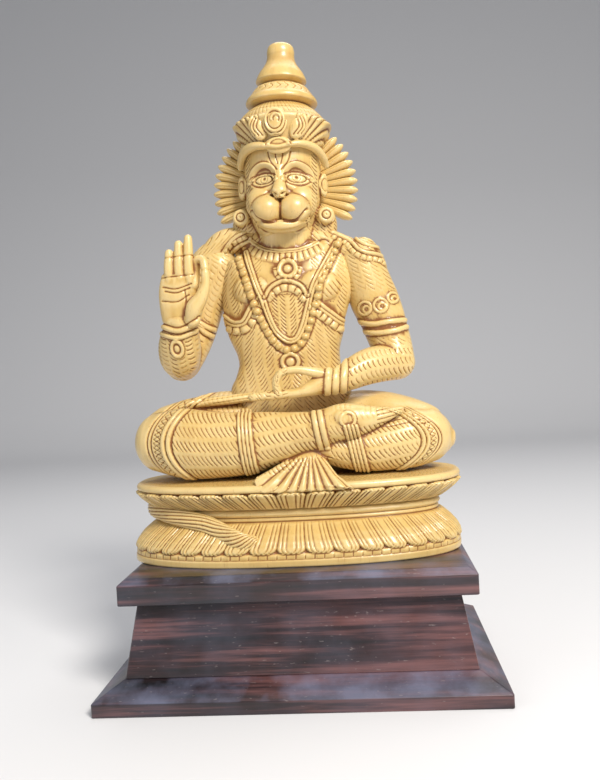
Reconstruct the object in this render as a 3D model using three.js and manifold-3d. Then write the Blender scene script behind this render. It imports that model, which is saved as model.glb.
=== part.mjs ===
// A wooden Hanuman, seated cross-legged on a double lotus, on a stepped plinth of rosewood boards.
// Millimetres, +Z up, front towards -Y, origin in the middle of the plinth's underside.
import * as THREE from "three";
import { mergeVertices } from "three/addons/utils/BufferGeometryUtils.js";
import Module from "manifold-3d";

const wasm = await Module();
wasm.setup();

// Lotus base, one block with the figure
const lotusWidth = 178;
const lotusDepth = 86;
const outlinePower = 2.45; // 2 is an ellipse, more is squarer
const footHeight = 3.8;
const tickHeight = 2.4;
const lowerPetalHeight = 14.4;
const waistHeight = 6.6;
const upperPetalHeight = 10.4;
const rimHeight = 3.8;
const waistInset = 13.4;
const petalCount = 38; // all round, in each of the two rows
const petalGroove = 2.4;
const petalInset = 1.2;
const rimInset = 0.8;
const tailSize = 2.9;
const footShift = -2.6; // the foot stands a little left of the middle, the rim hardly
const rimShift = -0.8;

// Figure: its points are counted in squares of a carver's grid, from the middle of the seat
const figureHeight = 236.3;
const squareCount = 236.3;
const square = figureHeight / squareCount;
const seatSink = 2.6; // the legs lie this deep in the dished seat
const neckHeight = 134; // from the seat to the turning point of the head
const neckShift = -0.6;
const headLean = THREE.MathUtils.degToRad(2);
const haloRadius = 40.3;
const haloPetals = 31;

// Plinth
const plateOverhang = 12; // bottom plate past the slab, each side
const plateEdge = 6.5;
const plateBevelRise = 6.9;
const plateBevelRun = 13;
const trunkHeight = 36.5;
const trunkFootInset = 0.5;
const trunkTaper = 6.5;
const slabEdge = 9.9;
const slabChamferRise = 2.9;
const slabChamferRun = 4;
const slabSideMargin = -5; // flat top past the lotus; less than 0, the lotus covers the chamfer
const slabFrontMargin = 10;

// Worked out
const lotusHeight =
  footHeight + tickHeight + lowerPetalHeight + waistHeight + upperPetalHeight + rimHeight;
const flatHalfWidth = lotusWidth / 2 + slabSideMargin;
const flatHalfDepth = lotusDepth / 2 + slabFrontMargin;
const plateTop = plateEdge + plateBevelRise;
const slabBottom = plateTop + trunkHeight;
const plinthHeight = slabBottom + slabEdge + slabChamferRise;

const paleWood = new THREE.MeshStandardMaterial({ color: 0xd9ab57, roughness: 0.42, metalness: 0 });
const rosewood = new THREE.MeshStandardMaterial({ color: 0x2e1a1c, roughness: 0.4, metalness: 0 });

const at = (x, y, z) => new THREE.Vector3(x, y, z);
const sideways = at(1, 0, 0);
const upwards = at(0, 0, 1);

// Closed skin over rings of equal length, with a fan over each end.
function skin(rings) {
  const n = rings[0].length;
  const middle = (ring) => ring.reduce((s, p) => s.add(p), at(0, 0, 0)).divideScalar(n);
  const points = [...rings.flat(), middle(rings[0]), middle(rings[rings.length - 1])];
  const faces = [];
  for (let i = 0; i + 1 < rings.length; i += 1) {
    for (let j = 0; j < n; j += 1) {
      const [a, b] = [i * n + j, i * n + ((j + 1) % n)];
      faces.push(a, b, b + n, a, b + n, a + n);
    }
  }
  const last = (rings.length - 1) * n;
  for (let j = 0; j < n; j += 1) {
    const k = (j + 1) % n;
    faces.push(points.length - 2, k, j, points.length - 1, last + j, last + k);
  }
  return new THREE.BufferGeometry().setFromPoints(points).setIndex(faces);
}

// Six times the enclosed volume, which comes out negative when the triangles face inwards.
function signedVolume(points, corners) {
  const p = (i) => at(points[3 * i], points[3 * i + 1], points[3 * i + 2]);
  let sum = 0;
  for (let i = 0; i < corners.length; i += 3) {
    sum += p(corners[i]).dot(p(corners[i + 1]).cross(p(corners[i + 2])));
  }
  return sum;
}

// A closed geometry as a solid that can be joined and cut.
function solid(geometry) {
  const bare = geometry.clone();
  bare.deleteAttribute("normal");
  bare.deleteAttribute("uv");
  const merged = mergeVertices(bare, 1e-4);
  const vertProperties = merged.attributes.position.array;
  const corners = Array.from(merged.index.array);
  if (signedVolume(vertProperties, corners) < 0) corners.reverse();
  const triVerts = new Uint32Array(corners);
  return new wasm.Manifold(new wasm.Mesh({ numProp: 3, vertProperties, triVerts }));
}

const join = (solids) => solids.reduce((whole, next) => whole.add(next));

// Carved wood is solid, so pockets that overlapping limbs close off inside are filled.
const filled = (body) => join(body.decompose().filter((shell) => shell.volume() > 0));

function toMesh(name, body, material) {
  const { numProp, vertProperties, triVerts } = body.getMesh();
  const points = [];
  for (let i = 0; i < vertProperties.length; i += numProp) {
    points.push(at(vertProperties[i], vertProperties[i + 1], vertProperties[i + 2]));
  }
  const geometry = new THREE.BufferGeometry().setFromPoints(points).setIndex(Array.from(triVerts));
  geometry.computeVertexNormals();
  const mesh = new THREE.Mesh(geometry, material);
  mesh.name = name;
  return mesh;
}

// Stations are [x, y, z, half width, half thickness]. The limb runs smoothly through them.
// Its width lies along the direction "wide". Bands are [from, to, thickness, ridges] along it.
function limb(stations, options = {}) {
  const { sides = 10, steps = 6, wide = upwards, bands = [] } = options;
  const { roundStart = false, roundEnd = false, power = 2 } = options;
  const smooth = (list) => new THREE.CatmullRomCurve3(list, false, "catmullrom", 0.5);
  const centres = smooth(stations.map(([x, y, z]) => at(x, y, z)));
  const sizes = smooth(stations.map(([, , , a, b = a]) => at(a, b, 0)));
  const bent = (v) => Math.sign(v) * Math.abs(v) ** (2 / power);
  const ring = (t, raise, shrink = 1, shift = 0) => {
    const tangent = centres.getTangent(t);
    const side = wide.clone().addScaledVector(tangent, -wide.dot(tangent)).normalize();
    const other = tangent.clone().cross(side);
    const { x: a, y: b } = sizes.getPoint(t);
    const centre = centres.getPoint(t).addScaledVector(tangent, shift * Math.min(a, b));
    return Array.from({ length: sides }, (_, j) => {
      const angle = (2 * Math.PI * j) / sides;
      return centre
        .clone()
        .addScaledVector(side, (a + raise) * shrink * bent(Math.cos(angle)))
        .addScaledVector(other, (b + raise) * shrink * bent(Math.sin(angle)));
    });
  };
  const rings = placesAlong(steps, bands).map(([t, raise]) => ring(t, raise));
  if (roundStart) rings.unshift(ring(0, 0, 0.6, -0.6));
  if (roundEnd) rings.push(ring(1, 0, 0.6, 0.6));
  return solid(skin(rings));
}

// Even steps along a limb, with a crest and a dip for each ridge of each band.
function placesAlong(steps, bands) {
  const places = Array.from({ length: steps + 1 }, (_, i) => [i / steps, 0]);
  const clear = places.filter(([t]) => bands.every(([from, to]) => t < from || t > to));
  bands.forEach(([from, to, thickness, ridges = 1]) => {
    const lip = 0.12 * (to - from);
    clear.push([from, 0], [from + lip, thickness], [to - lip, thickness], [to, 0]);
    for (let i = 1; i < ridges; i += 1) {
      clear.push([from + ((to - from) * i) / ridges, 0.2 * thickness]);
    }
  });
  return clear.sort((a, b) => a[0] - b[0]);
}

function ball([x, y, z], [rx, ry, rz], columns = 8, rows = 5) {
  const turned = new THREE.SphereGeometry(1, columns, rows).rotateX(Math.PI / 2);
  return solid(turned.scale(rx, ry, rz).translate(x, y, z));
}

// The same shape on both sides of the figure.
const bothSides = (make) => [make(-1), make(1)];

// Lotus base

// Points spaced evenly along a rounded oval, from the front middle, with their outward directions.
function evenOutline(halfWidth, halfDepth, count) {
  const fine = 1440;
  const bent = (v) => Math.sign(v) * Math.abs(v) ** (2 / outlinePower);
  const spot = (i) => {
    const angle = (2 * Math.PI * i) / fine - Math.PI / 2;
    return at(halfWidth * bent(Math.cos(angle)), halfDepth * bent(Math.sin(angle)), 0);
  };
  const line = Array.from({ length: fine + 1 }, (_, i) => spot(i));
  const run = line.map(() => 0);
  for (let i = 1; i <= fine; i += 1) run[i] = run[i - 1] + line[i].distanceTo(line[i - 1]);
  let i = 0;
  const points = Array.from({ length: count }, (_, j) => {
    while (run[i + 1] < (run[fine] * j) / count) i += 1;
    const share = ((run[fine] * j) / count - run[i]) / (run[i + 1] - run[i]);
    return line[i].clone().lerp(line[i + 1], share);
  });
  return points.map((point, j) => {
    const ahead = points[(j + 1) % count].clone().sub(points[(j + count - 1) % count]);
    return { point, out: at(ahead.y, -ahead.x, 0).normalize() };
  });
}

// Rows of the lotus from its underside up, as [height, inset, groove depth].
function lotusRows() {
  const petalFoot = footHeight + tickHeight;
  const waist = petalFoot + lowerPetalHeight;
  const upper = waist + waistHeight;
  const rim = upper + upperPetalHeight;
  return [
    [0, 0, 0],
    [footHeight, 0, 0],
    [petalFoot, petalInset, petalGroove],
    [petalFoot + 0.5 * lowerPetalHeight, 0.34 * waistInset, 0.8 * petalGroove],
    [waist, waistInset, 0],
    [waist + waistHeight / 2, 0.85 * waistInset, 0],
    [upper, waistInset, 0],
    [upper + 0.5 * upperPetalHeight, 0.5 * waistInset, 0.9 * petalGroove],
    [rim, 2.5 * rimInset, 0.8 * petalGroove],
    [rim + 0.1 * rimHeight, rimInset, 0],
    [rim + rimHeight, 4 * rimInset, 0],
  ];
}

// The grooves fall between the petals, and a petal stands in the front middle.
function lotus() {
  const outline = evenOutline(lotusWidth / 2, lotusDepth / 2, 2 * petalCount);
  const rings = lotusRows().map(([z, inset, groove]) => {
    const shift = THREE.MathUtils.lerp(footShift, rimShift, z / lotusHeight);
    return outline.map(({ point, out }, j) => {
      const depth = inset + (j % 2 ? groove : 0);
      return point.clone().addScaledVector(out, -depth).add(at(shift, 0, z));
    });
  });
  return join([solid(skin(rings)), ...tail(footHeight + tickHeight + lowerPetalHeight)]);
}

// The tail comes round the left end of the waist and its tuft hangs over the lower petals.
function tail(waist) {
  const spots = evenOutline(lotusWidth / 2, lotusDepth / 2, 100);
  const along = (share, inset, rise, size) => {
    const { point, out } = spots[Math.round(100 * share) % 100];
    const p = point.clone().addScaledVector(out, -inset * waistInset);
    return [p.x + footShift, p.y, waist + rise * tailSize, size * tailSize, size * tailSize];
  };
  const rope = [
    along(0.74, 0.96, 1.2, 0.9),
    along(0.79, 0.86, 1.1, 1),
    along(0.84, 0.82, 0.8, 1),
    along(0.89, 0.76, 0.2, 1),
    along(0.93, 0.66, -0.7, 1),
  ];
  const tuft = [
    along(0.92, 0.66, -0.5, 0.9),
    along(0.94, 0.5, -1.4, 1.5),
    along(0.96, 0.46, -2.1, 1.5),
    along(0.98, 0.5, -1.9, 0.7),
  ];
  return [limb(rope, { sides: 6, steps: 6 }), limb(tuft, { sides: 7, steps: 4 })];
}

// Figure, in grid squares above the seat

const torsoLine = [
  [-2, 3, 16, 35, 21],
  [-2, 2.5, 42, 34, 19.5],
  [-1.7, 1.3, 56, 29.9, 17],
  [-1.5, 0.8, 64, 27.9, 15.8],
  [-2, 0.5, 78, 31.1, 15.8],
  [-2.4, 0.5, 90, 33.6, 16.2],
  [-1.5, 1, 102, 36, 17],
  [0, 3, 114, 37, 15.5],
  [0.5, 4, 124, 30, 13],
  [0.5, 4, 132, 18, 12],
];

// The front of the trunk at a place, found between the stations above and below it.
function onChest(x, z, lift = 0) {
  const above = torsoLine.findIndex((station) => station[2] >= z);
  const [low, high] = [torsoLine[above - 1], torsoLine[above]];
  const share = (z - low[2]) / (high[2] - low[2]);
  const [cx, cy, , rx, ry] = low.map((v, i) => v + share * (high[i] - v));
  const across = Math.min(0.97, Math.abs((x - cx) / rx));
  return [x, cy - ry * Math.sqrt(1 - across * across) - lift, z];
}

function torso() {
  const bands = [[0.2, 0.24, 1.5]];
  const trunk = limb(torsoLine, { sides: 14, steps: 7, wide: sideways, power: 2.2, bands });
  const breasts = bothSides((s) => ball([-0.5 + 15.5 * s, -8.5, 103], [13.5, 8, 10.5]));
  const neck = limb(
    [
      [0.5, 3, 122, 19, 13],
      [0.5, 3, neckHeight / square + 8, 16.4, 13],
    ],
    { sides: 12, steps: 1, wide: sideways },
  );
  return [trunk, ...breasts, neck, ...jewels()];
}

// A row of chest places joined by a cord that lies on the body.
function chestCord(places, size, options) {
  return limb(
    places.map(([x, z]) => [...onChest(x, z, 0.3 * size), size]),
    { sides: 4, wide: at(0, 1, 0), ...options },
  );
}

function jewels() {
  const garland = [
    [-24, 127],
    [-21, 110],
    [-16, 92],
    [-9, 77],
    [0, 71.5],
    [9, 77],
    [16, 92],
    [21, 110],
    [24, 127],
  ];
  const beadString = chestCord(garland, 2.6, { steps: 12 });
  const collar = chestCord(
    [
      [-17, 127],
      [-11, 119],
      [0, 115],
      [11, 119],
      [17, 127],
    ],
    2.8,
    { steps: 6 },
  );
  const arch = chestCord(
    [
      [-15, 96],
      [-12, 106],
      [0, 109],
      [12, 106],
      [15, 96],
    ],
    1.6,
    { steps: 6 },
  );
  const straps = bothSides((s) =>
    chestCord(
      [
        [29 * s, 84],
        [23 * s, 88],
        [15 * s, 97],
      ],
      1.8,
      { steps: 3 },
    ),
  );
  const pendant = ball(onChest(1, 113), [5, 2.2, 5]);
  const bellyRosette = ball(onChest(-0.5, 64), [5, 2, 5]);
  return [beadString, collar, arch, ...straps, pendant, bellyRosette];
}

const restingArm = [
  [40, 4, 118, 12],
  [41.5, 4, 111, 12.6],
  [46.9, 4, 94.5, 13],
  [51, 3.3, 83, 12.3],
  [54.3, 1.5, 71, 11.2],
  [56, -1, 62, 10.2],
];
const restingForearm = [
  [57, -1, 61, 9.8],
  [43, -11, 59.7, 9.7],
  [31.5, -18.5, 55.2, 7.8],
  [26.5, -21.5, 53.2, 6.4],
];
const raisedArm = [
  [-39, 5, 118, 12],
  [-43.5, 5, 109, 12.4],
  [-48.5, 5, 98, 11.6],
  [-53.5, 3.5, 82, 10.6],
  [-60.5, 0, 67, 9.8],
];
const raisedForearm = [
  [-61, -0.5, 66.5, 9.8],
  [-60.5, -7, 70, 11.1],
  [-59, -13, 76, 11, 10],
  [-56, -20.5, 87, 9.3, 7],
];

function arms() {
  const armlet = [0.46, 0.6, 1.5];
  const bracelet = [0.8, 0.99, 1.3];
  const upright = { sides: 9, steps: 4, wide: sideways };
  return [
    limb(restingArm, { ...upright, bands: [armlet], roundStart: true }),
    limb(raisedArm, { ...upright, bands: [armlet], roundStart: true }),
    limb(restingForearm, { sides: 9, steps: 4, bands: [bracelet], roundStart: true }),
    limb(raisedForearm, { ...upright, bands: [bracelet], roundStart: true }),
    ball([50, -9, 92], [5.5, 3.5, 8], 7, 4),
    ball([44, -4, 122], [8, 7, 6], 7, 4),
    ball([-40, -3, 125], [9, 7, 6], 7, 4),
    ...restingHand(),
    ...raisedHand(),
  ];
}

// The lap hand: three fingers reach to the left, thumb and forefinger close a ring above them.
function restingHand() {
  const palm = [
    [28, -20.5, 52.5, 6],
    [19, -25, 52, 6.6],
    [8, -28, 49.5, 5],
    [-5, -30, 48, 3.8],
    [-19, -31, 46.8, 2.4],
  ];
  const ring = [
    [20, -26, 55.5, 3.8],
    [10, -29, 60, 3],
    [0, -30.5, 62, 2.6],
    [-4.4, -31.5, 58, 2.4],
    [-4, -31.5, 51, 2.4],
  ];
  return [
    limb(palm, { sides: 8, steps: 5, roundEnd: true }),
    limb(ring, { sides: 6, steps: 7, wide: at(0, 1, 0) }),
  ];
}

// The blessing hand: palm to the front, three fingers straight, forefinger bent down to the thumb.
function raisedHand() {
  const palm = [
    [-56.2, -20.5, 86, 9, 6.4],
    [-56.2, -22, 94, 10, 5],
    [-55.9, -23.2, 103, 10.2, 4.2],
    [-55.2, -24, 111, 9.2, 3.2],
  ];
  const thumb = [
    [-49, -25, 89.4, 4.4],
    [-47, -27, 94.4, 4.6],
    [-42.8, -28, 100, 3.4],
    [-40.4, -28, 106, 2.5],
    [-40.1, -28, 112, 2.2],
  ];
  const forefinger = [
    [-47.2, -24, 106.7, 2.9],
    [-46.4, -23, 114, 2.7],
    [-44.8, -24, 119, 2.6],
    [-41.4, -26, 118.8, 2.4],
    [-40.2, -27.5, 114.6, 2.2],
  ];
  const fingerFoot = 111;
  const fingerSize = 3;
  const fingerPlaces = [-59.6, -54.3, -49.1];
  const fingerTips = [126, 130.3, 133];
  const fingers = fingerPlaces.map((x, i) =>
    limb(
      [
        [x - 0.5, -24, fingerFoot - 6, fingerSize],
        [x, -25, fingerFoot + 0.5 * (fingerTips[i] - fingerFoot), fingerSize],
        [x + 0.4, -24.5, fingerTips[i] - fingerSize, 0.75 * fingerSize],
      ],
      { sides: 6, steps: 2, wide: sideways, roundEnd: true },
    ),
  );
  return [
    limb(palm, { sides: 8, steps: 3, wide: sideways }),
    ...fingers,
    limb(thumb, { sides: 6, steps: 4, wide: sideways, roundEnd: true }),
    limb(forefinger, { sides: 6, steps: 4, wide: sideways }),
  ];
}

// Legs: each thigh runs out to the knee and the shin folds back across the front.
function legs() {
  const leftThigh = [
    [-16, 4, 24, 22, 20],
    [-37, 1, 28, 22, 20],
    [-60, -5, 26, 20.3, 19],
    [-70, -8, 25.8, 18, 17],
    [-78, -10, 25.6, 13, 12],
  ];
  const rightThigh = [
    [18, 4, 22, 22, 20],
    [45, 0, 25.4, 20.4, 19.5],
    [60, -5, 23.7, 18.2, 18],
    [70, -8.5, 21.8, 15.5, 15],
    [78, -10, 19.6, 11, 10],
  ];
  const frontShin = [
    [-72, -14, 24.5, 16, 14],
    [-50, -22, 23, 18.3, 15],
    [-24, -26, 23, 16.2, 13],
    [-4, -28.5, 25.9, 12.7, 10.3],
    [12, -30.5, 28, 9.8, 8.4],
    [18.5, -31.5, 29.4, 9, 8],
  ];
  const underShin = [
    [70, -13, 21.5, 14.5, 13],
    [50, -20, 19, 14.2, 13],
    [29, -24, 17.5, 10.9, 10.5],
    [5, -25, 24, 8, 8],
  ];
  const foot = [
    [13, -31, 29, 9.2, 8.2],
    [27, -32, 32.1, 9.3, 7.6],
    [35.5, -31, 32.6, 8, 6.4],
    [45, -29.5, 33.8, 5, 5],
    [54, -28, 35.8, 2.4, 3],
  ];
  const sash = [
    [-12, -13, 47, 2, 1.6],
    [-28, -15, 46, 4, 2.2],
    [-44, -15, 45, 5, 2.2],
    [-56, -13, 43.5, 4, 1.8],
  ];
  const thick = { sides: 10, steps: 5 };
  const hem = [0.72, 0.86, 1.4];
  const garter = [0.44, 0.56, 1.3, 2];
  const underGarter = [0.56, 0.68, 1.3];
  const anklet = [0.93, 0.99, 1.1];
  return [
    limb(leftThigh, { ...thick, bands: [hem], roundEnd: true }),
    limb(rightThigh, { ...thick, bands: [hem], roundEnd: true }),
    limb(frontShin, { ...thick, bands: [garter, anklet], roundStart: true }),
    limb(underShin, { ...thick, steps: 4, bands: [underGarter], roundStart: true }),
    limb(foot, { sides: 8, steps: 4, roundEnd: true }),
    ball([26, -38, 34], [4, 2.6, 4], 7, 4),
    limb(sash, { sides: 6, steps: 3, wide: at(0, 1, 0) }),
    skirtFan(),
  ];
}

// Pleats of the skirt, spread as a fan over the front of the seat and its rim.
function skirtFan() {
  const columns = 16;
  const back = -20;
  const pleat = (height, halfSpan, y, middle, thickness) => {
    const front = Array.from({ length: columns + 1 }, (_, i) => {
      const share = (2 * i) / columns - 1;
      const fold = i % 2 ? 0 : 0.5 * thickness;
      return at(middle + halfSpan * share, y + 3 * share * share - fold, height);
    });
    return [...front, at(middle + halfSpan, back, height), at(middle - halfSpan, back, height)];
  };
  const rings = [
    pleat(-1.5, 22, -42.6, 4, 2.4),
    pleat(2.6, 21, -42.2, 4, 2.6),
    pleat(9, 12, -36, 6.5, 2.4),
    pleat(16.5, 3, -28.5, 9, 0.8),
  ];
  return solid(skin(rings));
}

// Head, in grid squares above the turning point of the neck

const faceLine = [
  [0, -5.5, -3, 9, 8],
  [0, -4, 1, 12.5, 13],
  [0, -2.4, 10, 17.3, 18],
  [0, -1, 18, 19.8, 19.3],
  [0, -1, 26, 20.7, 19.5],
  [0, -1, 38, 20.6, 19.5],
  [0, 0, 54, 19.5, 19],
];

function face() {
  const skull = limb(faceLine, { sides: 16, steps: 6, wide: sideways });
  const muzzle = bothSides((s) => ball([6.6 * s, -19.5, 9.6], [7.6, 7.8, 7.8], 9, 6));
  const nose = limb(
    [
      [0, -18.5, 33, 2.6, 2.4],
      [0, -20.5, 24, 2.6, 2.6],
      [0, -23.5, 17, 4.2, 3.2],
    ],
    { sides: 6, steps: 3, wide: sideways },
  );
  const lip = limb(
    [
      [-12, -16, 4.5, 1.6],
      [-6, -20.5, 1, 2],
      [0, -22, -0.2, 2.2],
      [6, -20.5, 1, 2],
      [12, -16, 4.5, 1.6],
    ],
    { sides: 5, steps: 6 },
  );
  const eyes = bothSides((s) => ball([9.2 * s, -17.4, 25.3], [5, 2.4, 2.4], 8, 4));
  const brows = bothSides((s) =>
    limb(
      [
        [3.4 * s, -19.8, 29.5, 1.3],
        [9 * s, -18.4, 33, 1.5],
        [16.5 * s, -13, 30, 1.2],
      ],
      { sides: 4, steps: 3 },
    ),
  );
  const ears = bothSides((s) => ball([21.5 * s, -1, 25], [3, 4.5, 6.5], 6, 3));
  const earrings = bothSides((s) => ball([22 * s, -4, 9], [5, 3.6, 5], 6, 4));
  const locks = bothSides((s) => ball([20 * s, 4, 4], [9, 8, 12], 6, 4));
  return [skull, ...muzzle, nose, lip, ...eyes, ...brows, ...ears, ...earrings, ...locks];
}

// The crown's brow band: arched twice on each side, low at the middle and the temples.
function browBand() {
  const columns = 16;
  const reach = THREE.MathUtils.degToRad(105);
  const slice = (i) => {
    const angle = reach * ((2 * i) / columns - 1);
    const turn = Math.abs(angle) / reach;
    const wave = Math.cos(8 * Math.PI * Math.min(turn, 0.62)) * (1 - turn);
    const low = 43.2 - 8 * turn ** 2 - 2.6 * wave;
    const top = 57 - 4 * turn;
    const spot = (r, z) => at(r * Math.sin(angle), -0.9 * r * Math.cos(angle), z);
    return [
      spot(18, low),
      spot(25, low),
      spot(25.3, low + 2.6),
      spot(23.4, low + 4.6),
      spot(23.4, top),
      spot(18, top),
    ];
  };
  return solid(skin(Array.from({ length: columns + 1 }, (_, i) => slice(i))));
}

// The crown is turned: rows are [radius, height, depth of the leaves]. A fluted dome carries a
// wide flange, and on it stands a bell with a round knob.
function crown() {
  const leaves = 10;
  const profile = [
    [19, 44, 0],
    [23.6, 53, 1],
    [23.4, 60, 1],
    [18.2, 68, 0],
    [19.2, 69.8, 0],
    [18.4, 72.4, 0],
    [12, 79, 0],
    [11.4, 80, 0],
    [13.7, 81.8, 0],
    [12.4, 84.6, 0],
    [8.2, 91, 0],
    [7.4, 98, 0],
    [5.6, 101.2, 0],
    [2, 102.4, 0],
  ];
  const sides = 2 * leaves;
  const rings = profile.map(([radius, z, flute]) =>
    Array.from({ length: sides }, (_, j) => {
      const angle = (2 * Math.PI * j) / sides;
      const r = radius + (j % 2 ? -flute : flute);
      return at(r * Math.sin(angle), -r * Math.cos(angle), z);
    }),
  );
  const crest = ball([0, -21.5, 57], [6.2, 3, 6.6], 10, 6);
  const disc = ball([0, -22, 45], [5, 2.6, 4.5]);
  return [solid(skin(rings)), browBand(), crest, disc];
}

// Halo of ridged, pointed petals behind the head.
function halo() {
  const centre = at(0.5, 8, 25);
  const reach = haloRadius / square;
  const start = THREE.MathUtils.degToRad(-28);
  const sweep = Math.PI - 2 * start;
  const columns = 2 * haloPetals;
  const slice = (i) => {
    const angle = start + (sweep * i) / columns;
    const ridge = i % 2 === 1;
    const spot = (r, y) => at(r * Math.cos(angle), y, r * Math.sin(angle)).add(centre);
    const tip = ridge ? reach : reach - 4;
    return [
      spot(14, 3.5),
      spot(14, -4),
      spot(0.66 * reach, ridge ? -4 : -1.8),
      spot(tip, ridge ? -1.6 : 0.6),
      spot(tip - 1, 2.8),
    ];
  };
  return [solid(skin(Array.from({ length: columns + 1 }, (_, i) => slice(i))))];
}

function head() {
  const whole = join([...face(), ...crown(), ...halo()]);
  const leanDegrees = THREE.MathUtils.radToDeg(headLean);
  return whole.rotate([0, leanDegrees, 0]).translate([neckShift, 0, neckHeight / square]);
}

// Locks of hair fall over both shoulders.
function shoulderLocks() {
  const nape = neckHeight / square;
  const left = [
    [-17, 4, nape, 6, 7],
    [-31, 4, nape - 0.5, 5.5, 7],
    [-46, 4, 126, 4, 5],
  ];
  const right = [
    [17, 4, nape - 2, 6, 7],
    [31, 4, 127, 5, 7],
    [44, 4, 122, 4, 5],
  ];
  return [left, right].map((line) => limb(line, { sides: 8, steps: 3 }));
}

function figure() {
  return join([...torso(), ...arms(), ...legs(), ...shoulderLocks(), head()]).scale(square);
}

// Plinth

// A board with four mitred sides; rows are [height, half width, half depth].
function board(rows) {
  const corners = [
    [-1, -1],
    [1, -1],
    [1, 1],
    [-1, 1],
  ];
  return solid(skin(rows.map(([z, w, d]) => corners.map(([i, j]) => at(i * w, j * d, z)))));
}

function plinth() {
  const slabWidth = flatHalfWidth + slabChamferRun;
  const slabDepth = flatHalfDepth + slabChamferRun;
  const plateWidth = slabWidth + plateOverhang;
  const plateDepth = slabDepth + plateOverhang;
  const footWidth = plateWidth - plateBevelRun - trunkFootInset;
  const footDepth = plateDepth - plateBevelRun - trunkFootInset;
  const plate = board([
    [0, plateWidth, plateDepth],
    [plateEdge, plateWidth, plateDepth],
    [plateTop, plateWidth - plateBevelRun, plateDepth - plateBevelRun],
  ]);
  const trunk = board([
    [plateTop, footWidth, footDepth],
    [slabBottom, footWidth - trunkTaper, footDepth - trunkTaper],
  ]);
  const slab = board([
    [slabBottom, slabWidth, slabDepth],
    [slabBottom + slabEdge, slabWidth, slabDepth],
    [plinthHeight, flatHalfWidth, flatHalfDepth],
  ]);
  return [
    toMesh("plinth_base_plate", plate, rosewood),
    toMesh("plinth_trunk", trunk, rosewood),
    toMesh("plinth_top_slab", slab, rosewood),
  ];
}

const seated = figure().translate([0, 0, lotusHeight - seatSink]);
const carvedBlock = filled(join([lotus(), seated]));
const carving = toMesh("hanuman_figure", carvedBlock, paleWood);
carving.position.z = plinthHeight;

const statue = new THREE.Group();
statue.add(carving, ...plinth());
export default statue;
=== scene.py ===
# %% [markdown]
# # A carved Hanuman on a rosewood plinth
# The real object is one block of pale wood, cut into a seated figure on a double lotus, and
# three dark boards under it. The CAD frame gives the places and sizes. Here every form is worked
# out again as a fine surface, then cut with the marks that a carver's gouge leaves.

# %% Load the frame
import math

import bpy
import numpy as np
from mathutils import Matrix, Vector
from mathutils.bvhtree import BVHTree


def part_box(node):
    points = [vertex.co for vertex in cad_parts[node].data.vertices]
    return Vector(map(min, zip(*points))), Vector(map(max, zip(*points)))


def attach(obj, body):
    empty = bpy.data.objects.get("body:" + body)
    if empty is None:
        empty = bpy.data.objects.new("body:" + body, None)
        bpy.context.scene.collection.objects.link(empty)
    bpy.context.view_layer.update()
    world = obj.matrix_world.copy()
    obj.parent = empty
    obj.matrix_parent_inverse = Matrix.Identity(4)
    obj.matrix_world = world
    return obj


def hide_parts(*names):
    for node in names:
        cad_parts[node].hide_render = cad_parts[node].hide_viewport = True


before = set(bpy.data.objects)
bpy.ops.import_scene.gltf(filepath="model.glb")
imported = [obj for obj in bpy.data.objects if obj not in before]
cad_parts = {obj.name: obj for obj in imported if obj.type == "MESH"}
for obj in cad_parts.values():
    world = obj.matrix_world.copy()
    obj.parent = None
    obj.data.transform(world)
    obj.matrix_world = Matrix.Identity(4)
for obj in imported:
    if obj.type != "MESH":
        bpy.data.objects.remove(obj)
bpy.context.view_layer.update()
MM = 0.001
print("frame nodes:", sorted(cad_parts))

# %% [markdown]
# ## Sizes
# All shapes are in millimetres. The lotus stands on the top slab, and the legs lie a little deep in
# its dished seat. The figure is drawn on a carver's grid, counted from the middle of the seat, whose
# square is about a millimetre. Reading both from the CAD box keeps the two models together.

# %% Sizes from the frame
carving_low, carving_high = (np.array(corner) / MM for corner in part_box("hanuman_figure"))
LOTUS_HEIGHT, SEAT_SINK = 41.4, 2.6
FIGURE_SQUARES = 236.3
BASE_Z = carving_low[2]
SEAT_Z = BASE_Z + (LOTUS_HEIGHT - SEAT_SINK)
SQUARE = (carving_high[2] - SEAT_Z) / FIGURE_SQUARES
LOTUS_WIDTH, LOTUS_DEPTH = 178.0, 86.0
NECK_Z = 134.0
NECK_SHIFT = -0.6
HEAD_LEAN = math.radians(2.0)
print("seat height", round(SEAT_Z, 1), "mm, one square", round(SQUARE, 4), "mm")

# %% [markdown]
# ## Camera, floor and light
# The camera stands where the photograph's stood: a little right of the middle and slightly rolled.
# A camera placed by eye would hide errors in the sizes, so its place was worked out from the edges
# of the plinth. Three large soft lamps light a pale floor, so that the cuts show and none is black.

# %% Camera
FRAME_WIDTH, FRAME_HEIGHT = 600, 780
FOCAL_PIXELS = 800.0
CENTRE_PIXEL = (305.0, 390.4)
CAMERA_MM = (37.9, -437.9, 161.8)
YAW, PITCH, ROLL = (math.radians(a) for a in (4.16, -1.6, 3.14))


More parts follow.
